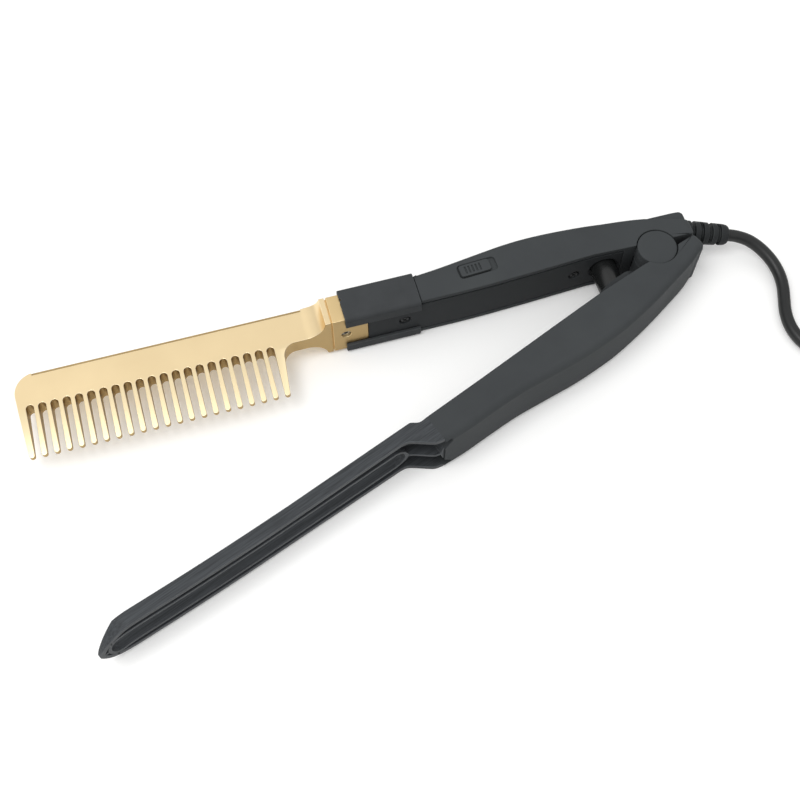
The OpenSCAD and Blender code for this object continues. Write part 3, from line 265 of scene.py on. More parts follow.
def loft(rings, name="solid"):
    """A closed skin through rings of points, with flat ends."""
    n, m = len(rings[0]), len(rings)
    sides = [(k * n + i, k * n + (i + 1) % n, (k + 1) * n + (i + 1) % n, (k + 1) * n + i)
             for k in range(m - 1) for i in range(n)]
    return solid(name, [p for ring in rings for p in ring],
                 sides + [tuple(range(n)), tuple(range((m - 1) * n, m * n))])


def prism(outline, low, high, along="Z", name="solid"):
    """An outline extruded along Z (seen from above), Y (from the front) or X (from the end)."""
    place = {"Z": lambda a, b, c: (a, b, c), "Y": lambda a, b, c: (a, c, b),
             "X": lambda a, b, c: (c, a, b)}[along]
    return loft([[place(p[0], p[1], level) for p in outline] for level in (low, high)], name)


def block(x0, x1, y0, y1, z0, z1, name="solid"):
    return prism([(x0, y0), (x1, y0), (x1, y1), (x0, y1)], z0, z1, name=name)


def turned(profile, at, axis, steps=96, name="solid"):
    """A profile of (radius, height) turned about an axis."""
    axis = Vector(axis).normalized()
    side = axis.orthogonal().normalized()
    across = axis.cross(side)
    ring = [(math.cos(2 * math.pi * i / steps), math.sin(2 * math.pi * i / steps)) for i in range(steps)]
    return loft([[Vector(at) + h * axis + r * (c * side + s * across) for c, s in ring]
                 for r, h in profile], name)


def drum(x, y, radius, z0, z1, steps=96):
    return turned([(radius, z0), (radius, z1)], (x, y, 0), (0, 0, 1), steps)


def bored(x, y, radius, y0, y1, z=MID_Z, steps=48):
    """A round bar along Y, for holes seen from the front."""
    return turned([(radius, y0), (radius, y1)], (x, 0, z), (0, 1, 0), steps)


def combine(target, others, how):
    for other in others:
        step = target.modifiers.new(how, "BOOLEAN")
        step.operation, step.solver, step.object = how, "EXACT", other
        applied(target)
        bpy.data.objects.remove(other)
    return target


def cut(target, *tools):
    return combine(target, tools, "DIFFERENCE")


def merge(target, *others):
    return combine(target, others, "UNION")


def within(target, *others):
    return combine(target, others, "INTERSECT")


def moved(target, matrix):
    target.data.transform(matrix)
    return target


def about_z(degrees, x=0, y=0):
    spot = Matrix.Translation(Vector((x, y, 0)) * MM)
    return spot @ Matrix.Rotation(math.radians(degrees), 4, "Z")


SWUNG = about_z(OPEN_ANGLE)


def break_edges(target, broken, angle=34, steps=3, seam_x=None):
    """Cleans what the cuts left and rounds the sharp edges by a small radius, except at a seam at x."""
    def weigh(bm):
        bmesh.ops.remove_doubles(bm, verts=bm.verts, dist=WELD * MM)
        bmesh.ops.dissolve_degenerate(bm, edges=bm.edges, dist=WELD * MM)
        bmesh.ops.dissolve_limit(bm, angle_limit=math.radians(FLAT), verts=bm.verts, edges=bm.edges)
        weight = bm.edges.layers.float.new("bevel_weight_edge")
        for edge in bm.edges:
            at_seam = seam_x is not None and all(
                abs(v.co.x - seam_x * MM) < SEAM_NEAR * MM for v in edge.verts)
            edge[weight] = 0.0 if at_seam or edge.calc_face_angle(0) < math.radians(angle) else 1.0

    edited(target, weigh)
    if broken:
        bevel = target.modifiers.new("broken_edges", "BEVEL")
        bevel.width, bevel.segments = broken * MM, steps
        bevel.limit_method = "WEIGHT"
        bevel.use_clamp_overlap = False
        bevel.miter_outer = "MITER_ARC"
        mesh = applied(target).data
        # Marks the narrow strips of the broken edges, for their wear and, on the gold, their painted highlight.
        strip = broken * MM * 0.7
        wear_and_highlight = mesh.attributes.new("edge_wear_and_highlight", "FLOAT", "FACE")
        for face in mesh.polygons:
            corners = [mesh.vertices[i].co for i in face.vertices]
            narrow = min((p - q).length for p, q in zip(corners, corners[1:] + corners[:1]))
            wear_and_highlight.data[face.index].value = 1.0 if narrow < strip and len(corners) == 4 else 0.0
    return target


def scored(target, spot, facing):
    """Splits the skin's faces along a plane, so that shading at a small cut doesn't reach across them."""
    return edited(target, lambda bm: bmesh.ops.bisect_plane(
        bm, geom=bm.verts[:] + bm.edges[:] + bm.faces[:], dist=0.001 * MM,
        plane_co=Vector(spot) * MM, plane_no=facing))


def parted(target, x, side):
    """Keeps what lies on one side of x and closes the cut. side is 1 towards +X, -1 towards -X."""
    def part(bm):
        made = bmesh.ops.bisect_plane(bm, geom=bm.verts[:] + bm.edges[:] + bm.faces[:], dist=0.0005 * MM,
                                      plane_co=(x * MM, 0, 0), plane_no=(side, 0, 0), clear_inner=True)
        rim = [e for e in made["geom_cut"] if isinstance(e, bmesh.types.BMEdge) and e.is_boundary]
        bmesh.ops.triangle_fill(bm, use_beauty=True, use_dissolve=True, edges=rim, normal=(-side, 0, 0))
        bmesh.ops.recalc_face_normals(bm, faces=bm.faces)
        if bm.calc_volume(signed=True) < 0:
            bmesh.ops.reverse_faces(bm, faces=bm.faces)

    return edited(target, part)


def settle(target, name, body, nodes, material, broken=0.2, angle=34, steps=3):
    """Rounds the sharp edges, shades the skin smooth between them, and hands the piece to its body."""
    def shade(bm):
        for face in bm.faces:
            face.smooth = True
        for edge in bm.edges:
            edge.smooth = edge.calc_face_angle(0) < math.radians(angle)

    if broken is not None:
        break_edges(target, broken, angle, steps)
    edited(target, shade)
    target.modifiers.new("even_normals", "WEIGHTED_NORMAL").keep_sharp = True
    target.name = target.data.name = name
    target.data.materials.clear()
    target.data.materials.append(material)
    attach(target, body)
    if nodes:
        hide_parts(*nodes)
    return target


# ---------- materials ----------
STREAK_SHARE = 0.03      # the grain's fineness along a streak, as a share of that across it


def linear(code, alpha=1.0):
    """An sRGB hex colour as linear light."""
    parts = [int(code[i:i + 2], 16) / 255 for i in (1, 3, 5)]
    return (*(c / 12.92 if c <= 0.04045 else ((c + 0.055) / 1.055) ** 2.4 for c in parts), alpha)


def add(tree, kind, feeds=(), **settings):
    """One node with its settings. feeds gives each input a value or the socket that drives it."""
    node = tree.nodes.new(kind)
    for key, value in settings.items():
        setattr(node, key, value)
    for key, value in dict(feeds).items():
        if isinstance(value, bpy.types.NodeSocket):
            tree.links.new(value, node.inputs[key])
        else:
            node.inputs[key].default_value = value
    return node


def finish(name, dark, light, rough, grain, depth, patch=18, metallic=0.0, ior=1.5, edge=None, painted_highlight=None,
           streak=None, **shader):
    """A finish with a fine grain, slow patches of tone and gloss, and lighter broken edges, which stand for
    wear and, on the gold, for a painted highlight.
    grain and patch are sizes in millimetres, depth is the grain's relief in millimetres. The paler
    colour, with the two Y between which it sets in, paints a highlight. streak is the angle along which the
    grain is drawn out; the tone then follows the grain instead of the patches."""
    made = bpy.data.materials.new(name)
    made.use_nodes = True
    tree = made.node_tree
    skin = tree.nodes["Principled BSDF"]
    place = add(tree, "ShaderNodeTexCoord").outputs["Object"]
    slow = add(tree, "ShaderNodeTexNoise", {"Vector": place, "Scale": 1 / (patch * MM), "Detail": 4.0,
                                            "Roughness": 0.6}).outputs["Fac"]
    drawn = place
    if streak is not None:
        along = add(tree, "ShaderNodeMapping", {"Vector": place, "Rotation": (0, 0, math.radians(-streak))})
        drawn = add(tree, "ShaderNodeMapping", {"Vector": along.outputs[0],
                                                "Scale": (STREAK_SHARE, 1, 1)}).outputs[0]
    fine = add(tree, "ShaderNodeTexNoise", {"Vector": drawn, "Scale": 1 / (grain * MM), "Detail": 3.0,
                                            "Roughness": 0.7}).outputs["Fac"]
    shade = slow if streak is None else add(tree, "ShaderNodeMapRange", {
        "Value": fine, "From Min": 0.35, "From Max": 0.65}).outputs[0]
    colour = add(tree, "ShaderNodeMix", {0: shade, 6: linear(dark), 7: linear(light)},
                 data_type="RGBA").outputs[2]
    # A paler colour setting in across Y: a painted highlight on the teeth.
    if painted_highlight:
        across = add(tree, "ShaderNodeSeparateXYZ", {0: place}).outputs["Y"]
        share = add(tree, "ShaderNodeMapRange", {
            "Value": across, "From Min": painted_highlight[1] * MM, "From Max": painted_highlight[2] * MM,
            "To Min": 0.0, "To Max": 1.0}).outputs[0]
        colour = add(tree, "ShaderNodeMix", {0: share, 6: colour, 7: linear(painted_highlight[0])},
                     data_type="RGBA").outputs[2]
    # Lighter broken edges: wear, and on the gold finishes a painted highlight.
    if edge:
        strips = add(tree, "ShaderNodeAttribute", attribute_name="edge_wear_and_highlight").outputs["Fac"]
        wear_and_highlight = add(tree, "ShaderNodeMath", {0: strips, 1: slow}, operation="MULTIPLY").outputs[0]
        colour = add(tree, "ShaderNodeMix", {0: wear_and_highlight, 6: colour, 7: linear(edge)},
                     data_type="RGBA").outputs[2]
    gloss = add(tree, "ShaderNodeMapRange", {"Value": slow, "From Min": 0.3, "From Max": 0.7,
                                             "To Min": rough[0], "To Max": rough[1]}).outputs[0]
    relief = add(tree, "ShaderNodeBump", {"Height": fine, "Distance": depth * MM, "Strength": 1.0})
    tree.links.new(colour, skin.inputs["Base Color"])
    tree.links.new(gloss, skin.inputs["Roughness"])
    tree.links.new(relief.outputs["Normal"], skin.inputs["Normal"])
    skin.inputs["Metallic"].default_value = metallic
    if not metallic:
        skin.inputs["IOR"].default_value = ior
    for key, value in shader.items():
        skin.inputs[key.replace("_", " ")].default_value = value
    return made


# Aluminium, machined, bead-blasted and gold-anodised: a soft pale gold with an even satin gloss, so
# the flat of the blade glows and the broken edges of the teeth draw bright lines. Those edges are painted
# lighter, a painted highlight, and the teeth are painted paler than the blade, a painted highlight too. The
# blasting's grain of 0.1 mm is drawn at 0.25 mm to show.
gold = finish("gold_anodised_aluminium", "#EFD6A8", "#F6E0B4", (0.3, 0.38), 0.25, 0.006, patch=30,
              metallic=1.0, edge="#FFF0D0", painted_highlight=("#F0DDB4", 1.5, -3))
# The same alloy in the block's drilled and milled faces, a touch darker; its broken edges are painted lighter,
# a painted highlight.
gold_block = finish("gold_anodised_block", "#DCC08C", "#E8CE9C", (0.3, 0.42), 0.25, 0.006, patch=12,
                    metallic=1.0, edge="#FFE6B4")
# A darker, rougher gold on the walls between the teeth, the floor of the step along the spine and the
# block's front face: painted shade, so the walls between the teeth stay brown under the bright faces.
gold_painted_shade = finish("gold_anodised_painted_shade", "#A88F62", "#BCA272", (0.4, 0.5), 0.3, 0.01, patch=8,
                  metallic=1.0)
# ABS, moulded in a spark-eroded tool: dark grey and matte, its fine texture leaving hardly any
# sheen. The texture of 0.15 mm is drawn at 0.3 mm to show.
handle_abs = finish("moulded_abs_handles", "#3B3D3F", "#474A4B", (0.44, 0.56), 0.3, 0.014, patch=26,
                    ior=1.54, Specular_IOR_Level=0.025)
# The same ABS in the covers between the arms, painted darker as the shade between the arms, and a little
# smoother.
cover_abs_painted_shade = finish("moulded_abs_covers_painted_shade", "#303234", "#3A3C3D", (0.4, 0.52), 0.3, 0.01, patch=20, ior=1.54,
                   Specular_IOR_Level=0.03)
# Glass-filled nylon in the jaw: a tighter sheen along its flat bands, fine flow lines that the
# glass fibre leaves, and edges worn paler.
jaw_nylon = finish("glass_filled_nylon_jaw", "#37393B", "#484B4E", (0.3, 0.42), 0.5, 0.008, patch=10,
                   ior=1.53, edge="#5C5F61", streak=OPEN_ANGLE, Specular_IOR_Level=0.08)
# Phenolic moulding of the heat guard: hard, dark, a little uneven and almost without gloss.
guard_phenolic = finish("phenolic_heat_guard", "#393B3C", "#454749", (0.42, 0.54), 0.5, 0.016, patch=9,
                        ior=1.6, edge="#505355", Specular_IOR_Level=0.025)
# Acetal of the spring sleeve: smooth and slippery, so it shows a clear highlight along its side.
sleeve_acetal = finish("turned_acetal_sleeve", "#151616", "#1B1C1C", (0.24, 0.32), 0.4, 0.004, ior=1.48)
# Soft PVC of lead and plug: dark, rubbery, with a broad soft highlight.
lead_pvc = finish("soft_pvc_lead", "#1B1C1C", "#242525", (0.3, 0.42), 0.4, 0.008, patch=15, ior=1.54,
                  Specular_IOR_Level=0.3)
# The same PVC in the strain relief: greyer and duller, its edges worn paler.
boot_pvc = finish("soft_pvc_strain_relief", "#292B2C", "#313334", (0.42, 0.54), 0.3, 0.012, patch=8,
                  ior=1.54, edge="#484B4B", Specular_IOR_Level=0.08)
# Black-oxide steel of the cover screws: dark, with bright worn rims.
screw_oxide = finish("black_oxide_screws", "#2A2B2C", "#3C3D3E", (0.3, 0.45), 0.15, 0.006, patch=2,
                     metallic=1.0, edge="#8A8C8E")
# Zinc-plated steel of the hinge pin, jaw screws and set screw: cool grey with a fine even grain.
pin_zinc = finish("zinc_plated_steel", "#8E9092", "#A6A8AA", (0.25, 0.4), 0.2, 0.004, patch=4, metallic=1.0)
# Music wire of the return spring: oiled bright steel.
spring_wire = finish("oiled_spring_wire", "#77797B", "#8D8F91", (0.2, 0.32), 0.3, 0.003, patch=3,
                     metallic=1.0)
# Alumina of the heater rod: white, dry and slightly porous.
alumina = finish("fired_alumina", "#DAD6CC", "#EAE6DC", (0.6, 0.75), 0.3, 0.01, patch=6, ior=1.76)
# Tinned case of the thermal fuse: dull grey metal.
fuse_tin = finish("tinned_fuse_case", "#A5A39B", "#B9B7AF", (0.35, 0.5), 0.3, 0.005, patch=3, metallic=1.0)
# Glass-epoxy board with green solder mask: glossy lacquer over a faint weave of 0.6 mm.
board_mask = finish("solder_masked_board", "#1F5A38", "#2B6F48", (0.22, 0.34), 0.6, 0.01, patch=5, ior=1.58)
# Silicone sleeving of the inner leads: soft brick red, matte.
lead_silicone = finish("silicone_sleeving", "#A93A28", "#BC4A36", (0.45, 0.6), 0.4, 0.006, patch=6, ior=1.41)
# Polyamide case of the slide switch.
switch_pa = finish("moulded_polyamide_switch", "#1C1D1E", "#242526", (0.4, 0.5), 0.3, 0.01, patch=5, ior=1.53)
# Nickel-plated brass of the plug's pins: bright, faintly warm, with brass at the worn edges.
pin_nickel = finish("nickel_plated_brass_pins", "#B9B6AC", "#CFCCC3", (0.15, 0.28), 0.2, 0.003, patch=4,
                    metallic=1.0, edge="#D9C48C")
# Woven hook-and-loop strap of the coil tie: dark and fuzzy.
tie_nylon = finish("woven_nylon_tie", "#131414", "#1C1D1D", (0.7, 0.85), 0.5, 0.05, patch=4, ior=1.5,
                   Sheen_Weight=0.4)


# ---------- comb and heater ----------
def comb_outline():
    """The comb from above: free corner, spine, neck, flange and every gap between the teeth."""
    root_y = INNER_Y + ROOT_IN
    spine_y, tip_y = root_y + BLADE_W, root_y - TOOTH_LEN
    end_x = -(FIRST_GAP_X + (TEETH - 2) * TOOTH_PITCH) - TOOTH_GAP / 2 - END_TOOTH
    neck_x = -(BLOCK_X + FLANGE_T + COVE_R)
    half = TIP_W / 2
    tip_x = [-FIRST_GAP_X + TOOTH_PITCH / 2 - i * TOOTH_PITCH for i in range(TEETH)]
    outline = arc(end_x + CORNER_R, spine_y - CORNER_R, CORNER_R, CORNER_R, 180, 90, 16)
    outline += smooth([(neck_x + 1, spine_y), (neck_x + 3.2, spine_y - 0.25), (neck_x + 5.6, spine_y - 0.9),
                       (neck_x + COVE_R, BLOCK_Y1)], 3)
    outline += [Vector(p) for p in ((-BLOCK_X, BLOCK_Y1), (-BLOCK_X, INNER_Y))]
    outline += arc(neck_x - 4, INNER_Y - 5, 5, 5, 90, 180, 12)
    for i, x in enumerate(tip_x):
        outline += arc(x, tip_y + half, half, half, 0, -180, 12)
        if i < TEETH - 1:
            outline += arc(x - TOOTH_PITCH / 2, root_y - TOOTH_GAP / 2, TOOTH_GAP / 2, TOOTH_GAP / 2,
                           0, 180, 16)
    return outline, root_y, spine_y, tip_y, end_x, neck_x


def comb():
    outline, root_y, spine_y, tip_y, end_x, neck_x = comb_outline()
    made = prism(outline, 0, BODY_H)
    half = (BLOCK_Z1 - BLOCK_Z0) / 2
    side = [(-260, BLADE_T / 2)] + [
        (p.x, p.y) for p in arc(neck_x, BLADE_T / 2 + COVE_R, COVE_R, COVE_R, -90, 0, 20) if p.y < half]
    side += [(neck_x + COVE_R, half), (-BLOCK_X, half)]
    profile = [(x, MID_Z + z) for x, z in side] + [(x, MID_Z - z) for x, z in reversed(side)]
    teeth = [(spine_y + 5, 30), (root_y - 1.6, 30), (root_y - 1.6, BLADE_T / 2), (tip_y, TIP_T / 2),
             (tip_y - 1, TIP_T / 2)]
    taper = [(y, MID_Z + z) for y, z in teeth] + [(y, MID_Z - z) for y, z in reversed(teeth)]
    within(made, prism(profile, -60, 60, "Y"), prism(taper, -300, -100, "X"))
    low, high = MID_Z - BLADE_T / 2, MID_Z + BLADE_T / 2
    step_z = high - SEEN_STEP
    for z0, z1 in ((low - 1, low + SEEN_STEP), (step_z, high + 1)):
        cut(made, block(end_x + CORNER_R - 1, neck_x + 1, spine_y - STEP_W, spine_y + 2, z0, z1))
    settle(made, "gold_comb", "comb_arm", ["comb"], gold, broken=0.16)

    def in_painted_shade(face):
        """The sides of teeth and gaps, and the floor of the step along the spine: the faces painted darker as
        shade.
        """
        upright, level = abs(face.normal.z) < 0.3, face.normal.z > 0.9
        return (upright and face.center.y < (root_y + 0.3) * MM) or (
            level and face.center.y > (spine_y - STEP_W) * MM and abs(face.center.z / MM - step_z) < 0.1)

    return shade_painted_faces(made, in_painted_shade)


def shade_painted_faces(target, chosen):
    """Gives the chosen faces the darker gold of painted shade."""
    target.data.materials.append(gold_painted_shade)
    for face in target.data.polygons:
        face.material_index = 1 if chosen(face) else 0
    return target


def heater_block():
    x0, x1 = -BLOCK_X, -BLOCK_BACK_X
    made = block(x0 + SEAM_W, x1, INNER_Y, BLOCK_Y1, BLOCK_Z0, BLOCK_Z1)
    merge(made, block(x0, x0 + SEAM_W + 1, INNER_Y + SEAM_W, BLOCK_Y1 - SEAM_W,
                      BLOCK_Z0 + SEAM_W, BLOCK_Z1 - SEAM_W),
          block(x1 - 1, x1 + 9, INNER_Y + COVER_T + 0.6, BLOCK_Y1 - 2.1, CAVITY_Z0 + 1.4, CAVITY_Z1 - 1.4))
    heater_y = INNER_Y + BLOCK_W / 2
    cut(made, turned([(HEATER_BORE / 2, 0), (HEATER_BORE / 2, 30)], (x0 + 3, heater_y, MID_Z), (1, 0, 0)),
        bored(x0 + 5.4, 0, SET_SCREW_D / 2, INNER_Y - 1, heater_y))
    settle(made, "gold_heater_block", "comb_arm", ["heater_block"], gold_block, broken=0.25)
    # The block's front face gets the darker gold as painted shade.
    return shade_painted_faces(made, lambda face: face.normal.y < -0.9)


def heat_guard():
    """A C of even wall, folded over the block, with lips that stop on its inner face."""
    y0, y1 = INNER_Y - GUARD_GAP - GUARD_T, BLOCK_Y1 + GUARD_GAP + GUARD_T + 0.3
    yi0, yi1, zi0, zi1 = INNER_Y - GUARD_GAP, BLOCK_Y1 + GUARD_GAP, GUARD_T, BODY_H - GUARD_T
    r, ri = GUARD_R, 0.5
    outer = (arc(y0 + r, r, r, r, 180, 270, 8) + arc(y1 - r, r, r, r, 270, 360, 8)
             + arc(y1 - r, BODY_H - r, r, r, 0, 90, 8) + arc(y0 + r, BODY_H - r, r, r, 90, 180, 8))
    inner = (arc(yi0 + ri, zi1 - ri, ri, ri, 180, 90, 4) + arc(yi1 - ri, zi1 - ri, ri, ri, 90, 0, 4)
             + arc(yi1 - ri, zi0 + ri, ri, ri, 0, -90, 4) + arc(yi0 + ri, zi0 + ri, ri, ri, -90, -180, 4))
    lips = [Vector((y0, GUARD_LIP))], [Vector((y0, BODY_H - GUARD_LIP)), Vector((yi0, BODY_H - GUARD_LIP))]
    made = prism(lips[0] + outer + lips[1] + inner + [Vector((yi0, GUARD_LIP))],
                 -GUARD_FRONT_X, -GUARD_FRONT_X + GUARD_LEN, "X")
    cut(made, block(-GUARD_FRONT_X - 1, -GUARD_FRONT_X + NOTCH_LEN, NOTCH_Y0, NOTCH_Y1, BODY_H - 3, BODY_H + 1))
    break_edges(made, 0.25)
    scored(made, (-GUARD_FRONT_X + 1.5, 0, 0), (1, 0, 0))
    for y in (NOTCH_Y0 - 0.8, NOTCH_Y1 + 0.8):
        scored(made, (0, y, 0), (0, 1, 0))
    return settle(made, "black_heat_guard", "comb_arm", ["heat_guard"], guard_phenolic,
                  broken=None)


# ---------- handles ----------
def rounded_arm(near, distant, z0, z1, steps=8):
    """A handle with its long edges rounded. near and distant give each side drawn in by a length."""
    turn = [(EDGE_R * (1 - math.sin(a)), EDGE_R * (1 - math.cos(a)))
            for a in (math.pi / 2 * i / steps for i in range(steps + 1))]
    levels = [(e, z0 + h) for e, h in turn] + [(e, z1 - h) for e, h in reversed(turn)]
    return loft([[(x, y, z) for x, y in near(e) + distant(e)[::-1]] for e, z in levels])


def comb_arm_shell():
    outer = smooth(COMB_OUTER, 5)

    def near(e):
        r = max(1.6 - e, 0.1)
        return ([Vector((p.x, edge_at(COMB_INNER, p.x))) for p in outer]
                + arc(TAIL_X - e - r, 3.9, r, 1.6, -90, 0, 6))

    def distant(e):
        r = max(2 - e, 0.4)
        return [p - Vector((0, e)) for p in outer] + arc(TAIL_X - e - r, HEEL_Y - 0.1 - e - r, r, r, 75, 0, 6)

    made = rounded_arm(near, distant, ARM_Z0, ARM_Z1)
    merge(made, block(-BLOCK_BACK_X, -HANDLE_X + 1, INNER_Y, BLOCK_Y1, BLOCK_Z0, BLOCK_Z1),
          drum(0, 0, CAP_R, EYE_LOW_Z0, EYE_LOW_Z0 + EYE_H), drum(0, 0, CAP_R, CAP_Z0 - EYE_H, CAP_Z0))
    back = [p - Vector((0, WALL)) for p in smooth(COMB_OUTER, 3) if p.x < CAVITY_END_X]
    room = [(-HANDLE_X - 0.5, BLOCK_Y1 - 1.4), (-BLOCK_BACK_X - 1, BLOCK_Y1 - 1.4), (-BLOCK_BACK_X - 1, -2),
            (CAVITY_END_X, -2), (CAVITY_END_X, back[-1].y)]
    recess = prism(rounded_box(RECESS_LEN, RECESS_W, 1.3), ARM_Z1 - RECESS_D, ARM_Z1 + 2)
    slot = block(-4, 4, -1.3, 1.3, CAVITY_Z1 - 1, ARM_Z1)
    for tool in (recess, slot):
        moved(tool, about_z(SWITCH_TILT, SWITCH_X, SWITCH_Y))
    heel = smooth(HEEL_CUT, 6) + [Vector((TAIL_X + 4, 8)), Vector((TAIL_X + 4, 24)), Vector((-26, 24))]
    cut(made, prism(room + back[::-1], CAVITY_Z0, CAVITY_Z1),
        drum(0, 0, CAP_R + TURN_GAP, EYE_LOW_Z0 + EYE_H, CAP_Z0 - EYE_H),
        drum(0, 0, CAP_R + TURN_GAP, CAP_Z0, BODY_H + 1), drum(0, 0, CAP_R + TURN_GAP, -1, EYE_LOW_Z0),
        drum(0, 0, PIN_BORE, -1, BODY_H + 1, 48), prism(heel, HEEL_Z, BODY_H + 2),
        turned([(CORD_D / 2 + 1.2, -BOOT_IN - 0.2), (CORD_D / 2 + 1.2, 1)], BOOT_AT, BOOT_DIR), recess, slot)
    return settle(made, "comb_arm_handle", "comb_arm", ["comb_arm_shell"], handle_abs,
                  broken=0.32)


def cover_plan(edge, inward):
    return [Vector(p) for p in edge] + [Vector(p) + Vector((0, inward)) for p in reversed(edge)]


def comb_arm_cover():
    end_x = CAVITY_END_X - COVER_GAP
    edge = ([(-BLOCK_BACK_X + 0.2, INNER_Y)] + [p for p in COMB_INNER if p[0] < end_x]
            + [(end_x, edge_at(COMB_INNER, end_x))])
    made = prism(cover_plan(edge, COVER_T), CAVITY_Z0 + SEEN_GAP, CAVITY_Z1 - SEEN_GAP)
    for x in COMB_SCREW_X:
        y = edge_at(COMB_INNER, -x)
        cut(made, bored(-x, 0, SCREW_RECESS_D / 2, y - 1, y + 1),
            bored(-x, 0, SCREW_D / 2 + 0.15, y - 1, y + 4))
    y = edge_at(COMB_INNER, -SLEEVE_X)
    cut(made, bored(-SLEEVE_X, 0, SLEEVE_D / 2 + 0.8, y - 1, y + 0.6),
        bored(-SLEEVE_X, 0, SLEEVE_D / 2 + 0.05, y - 1, y + 4))
    return settle(made, "comb_arm_inner_cover", "comb_arm", ["comb_arm_cover"], cover_abs_painted_shade,
                  broken=0.15)


def press_arm_shell():
    outer = smooth(PRESS_OUTER, 5)

    def near(e):
        r = max(3 - e, 0.5)
        return ([p + Vector((0, e)) for p in outer]
                + arc(PRESS_TAIL_X - e - r, -10.7 + e + r, r, r, -72, 0, 6))

    def distant(e):
        r = max(1.2 - e, 0.1)
        return ([Vector((p.x, edge_at(PRESS_INNER, p.x))) for p in outer]
                + arc(PRESS_TAIL_X - e - r, PRESS_TAIL_Y - 1.2, r, 1.2, 90, 0, 6))

    made = rounded_arm(near, distant, 0, BODY_H)
    eye_z0, eye_z1 = EYE_LOW_Z0 + EYE_H + TURN_GAP, CAP_Z0 - EYE_H - TURN_GAP
    merge(made, drum(0, 0, CAP_R, eye_z0, eye_z1))
    front = [p + Vector((0, WALL)) for p in smooth(PRESS_OUTER, 3) if p.x < CAVITY_END_X]
    room_x = -JAW_ROOT_X + 5.5
    room = [(CAVITY_END_X, 2), (room_x, 2), (room_x, edge_at(front, room_x))]
    front = [p for p in front if p.x > room_x]
    return cut(made, prism(room + front + [Vector((CAVITY_END_X, front[-1].y))], WALL, BODY_H - WALL),
               drum(0, 0, CAP_R + TURN_GAP, -1, eye_z0), drum(0, 0, CAP_R + TURN_GAP, eye_z1, BODY_H + 2),
               drum(0, 0, PIN_BORE, -1, BODY_H + 1, 48))


def press_arm_cover():
    """The press arm's inner cover, with a flat-topped collar round the spring's pocket."""
    end_x = CAVITY_END_X - COVER_GAP
    edge = [p for p in PRESS_INNER if p[0] < end_x] + [(end_x, edge_at(PRESS_INNER, end_x))]
    made = prism(cover_plan(edge, -COVER_T), WALL + SEEN_GAP, BODY_H - WALL - SEEN_GAP)
    pocket = (-SLEEVE_X - 1, 0, MID_Z)
    y = edge_at(PRESS_INNER, pocket[0])
    lip = y + COLLAR_H
    collar = turned([(COLLAR_R, y - COVER_T), (COLLAR_R, lip - 0.3), (COLLAR_R - 0.3, lip)], pocket, (0, 1, 0))
    within(collar, block(-60, end_x, -60, 60, MID_Z - COLLAR_FLAT, MID_Z + COLLAR_FLAT))
    merge(made, collar)
    cut(made, turned([(COLLAR_BORE, y - COVER_T - 1), (COLLAR_BORE, lip - 0.3), (COLLAR_BORE + 1.3, lip + 1)],
                     pocket, (0, 1, 0)))
    for x in PRESS_SCREW_X:
        y = edge_at(PRESS_INNER, -x)
        cut(made, bored(-x, 0, SCREW_RECESS_D / 2, y - 1, y + 1),
            bored(-x, 0, SCREW_D / 2 + 0.15, y - 4, y + 1))
    moved(made, SWUNG)
    return settle(made, "press_arm_inner_cover", "press_arm", ["press_arm_cover"], cover_abs_painted_shade,
                  broken=None)


def cover_screws(name, body, node, places, facing, swing):
    """Pan-head screws sunk in a cover, each with a crosshead. facing is -1 towards -Y, 1 towards +Y."""
    made = None
    for x, y in places:
        r = SCREW_HEAD_D / 2 - 0.3
        one = turned([(SCREW_D / 2, 7), (SCREW_D / 2, 1), (r, 1), (r, 0.55), (r - 0.25, 0.3), (r - 0.8, 0.2)],
                     (-x, y, MID_Z), (0, -facing, 0), 48)
        for turn in (45, 135):
            bar = prism([(-1.1, -0.24), (1.1, -0.24), (1.1, 0.24), (-1.1, 0.24)], -0.4, 0.9, "Y")
            bar.data.transform(Matrix.Rotation(math.radians(turn), 4, "Y"))
            bar.data.transform(Matrix.Scale(-facing, 4, Vector((0, 1, 0))))
            bar.data.transform(Matrix.Translation(Vector((-x, y, MID_Z)) * MM))
            cut(one, outward(bar))
        made = merge(made, one) if made else one
    moved(made, about_z(swing))
    return settle(made, name, body, [node], screw_oxide, broken=0.05, steps=2)


def slide_knob():
    """The switch's knob: round corners, grip grooves and a stem down to the switch."""
    w, r = RECESS_W - 2 * KNOB_GAP - 0.4, 1.0
    z0, z1 = ARM_Z1 - RECESS_D + 0.1, ARM_Z1 + KNOB_PROUD
    made = prism(rounded_box(KNOB_LEN - 0.4, w, r), z0, z1)
    for x in (GROOVE_X + i * GROOVE_PITCH for i in range(GROOVES)):
        cut(made, block(x - GROOVE_W / 2, x + GROOVE_W / 2, -w / 2 + 0.9, w / 2 - 0.9, z1 - GROOVE_D, z1 + 1))
    off = (RECESS_LEN - KNOB_LEN) / 2 - KNOB_GAP
    merge(made, block(-1.2 + off - 1, 1.2 + off - 1, -0.8, 0.8, CAVITY_Z1 - 3.2, z0 + 0.2))
    moved(made, about_z(SWITCH_TILT, SWITCH_X, SWITCH_Y) @ Matrix.Translation(Vector((-off, 0, 0)) * MM))
    return settle(made, "slide_switch_knob", "slide_knob", ["switch_knob"], handle_abs,
                  broken=0.16)


def hinge_cap(name, node, z_face, z_seat, up):
    """A round cap with a softly turned edge, a crown of 0.15 and a recess over the pin's head."""
    h = abs(z_face - z_seat)
    rim = [(CAP_R - 0.35 + 0.35 * math.cos(a), h - 0.5 + 0.35 * math.sin(a))
           for a in (math.pi / 2 * i / 5 for i in range(6))]
    made = turned([(3.9, 1.1), (3.9, 0), (CAP_R, 0)] + rim + [(5, h - 0.06), (2.5, h - 0.01), (0.4, h)],
                  (0, 0, z_seat), (0, 0, up))
    return settle(made, name, "comb_arm", [node], handle_abs, broken=0)


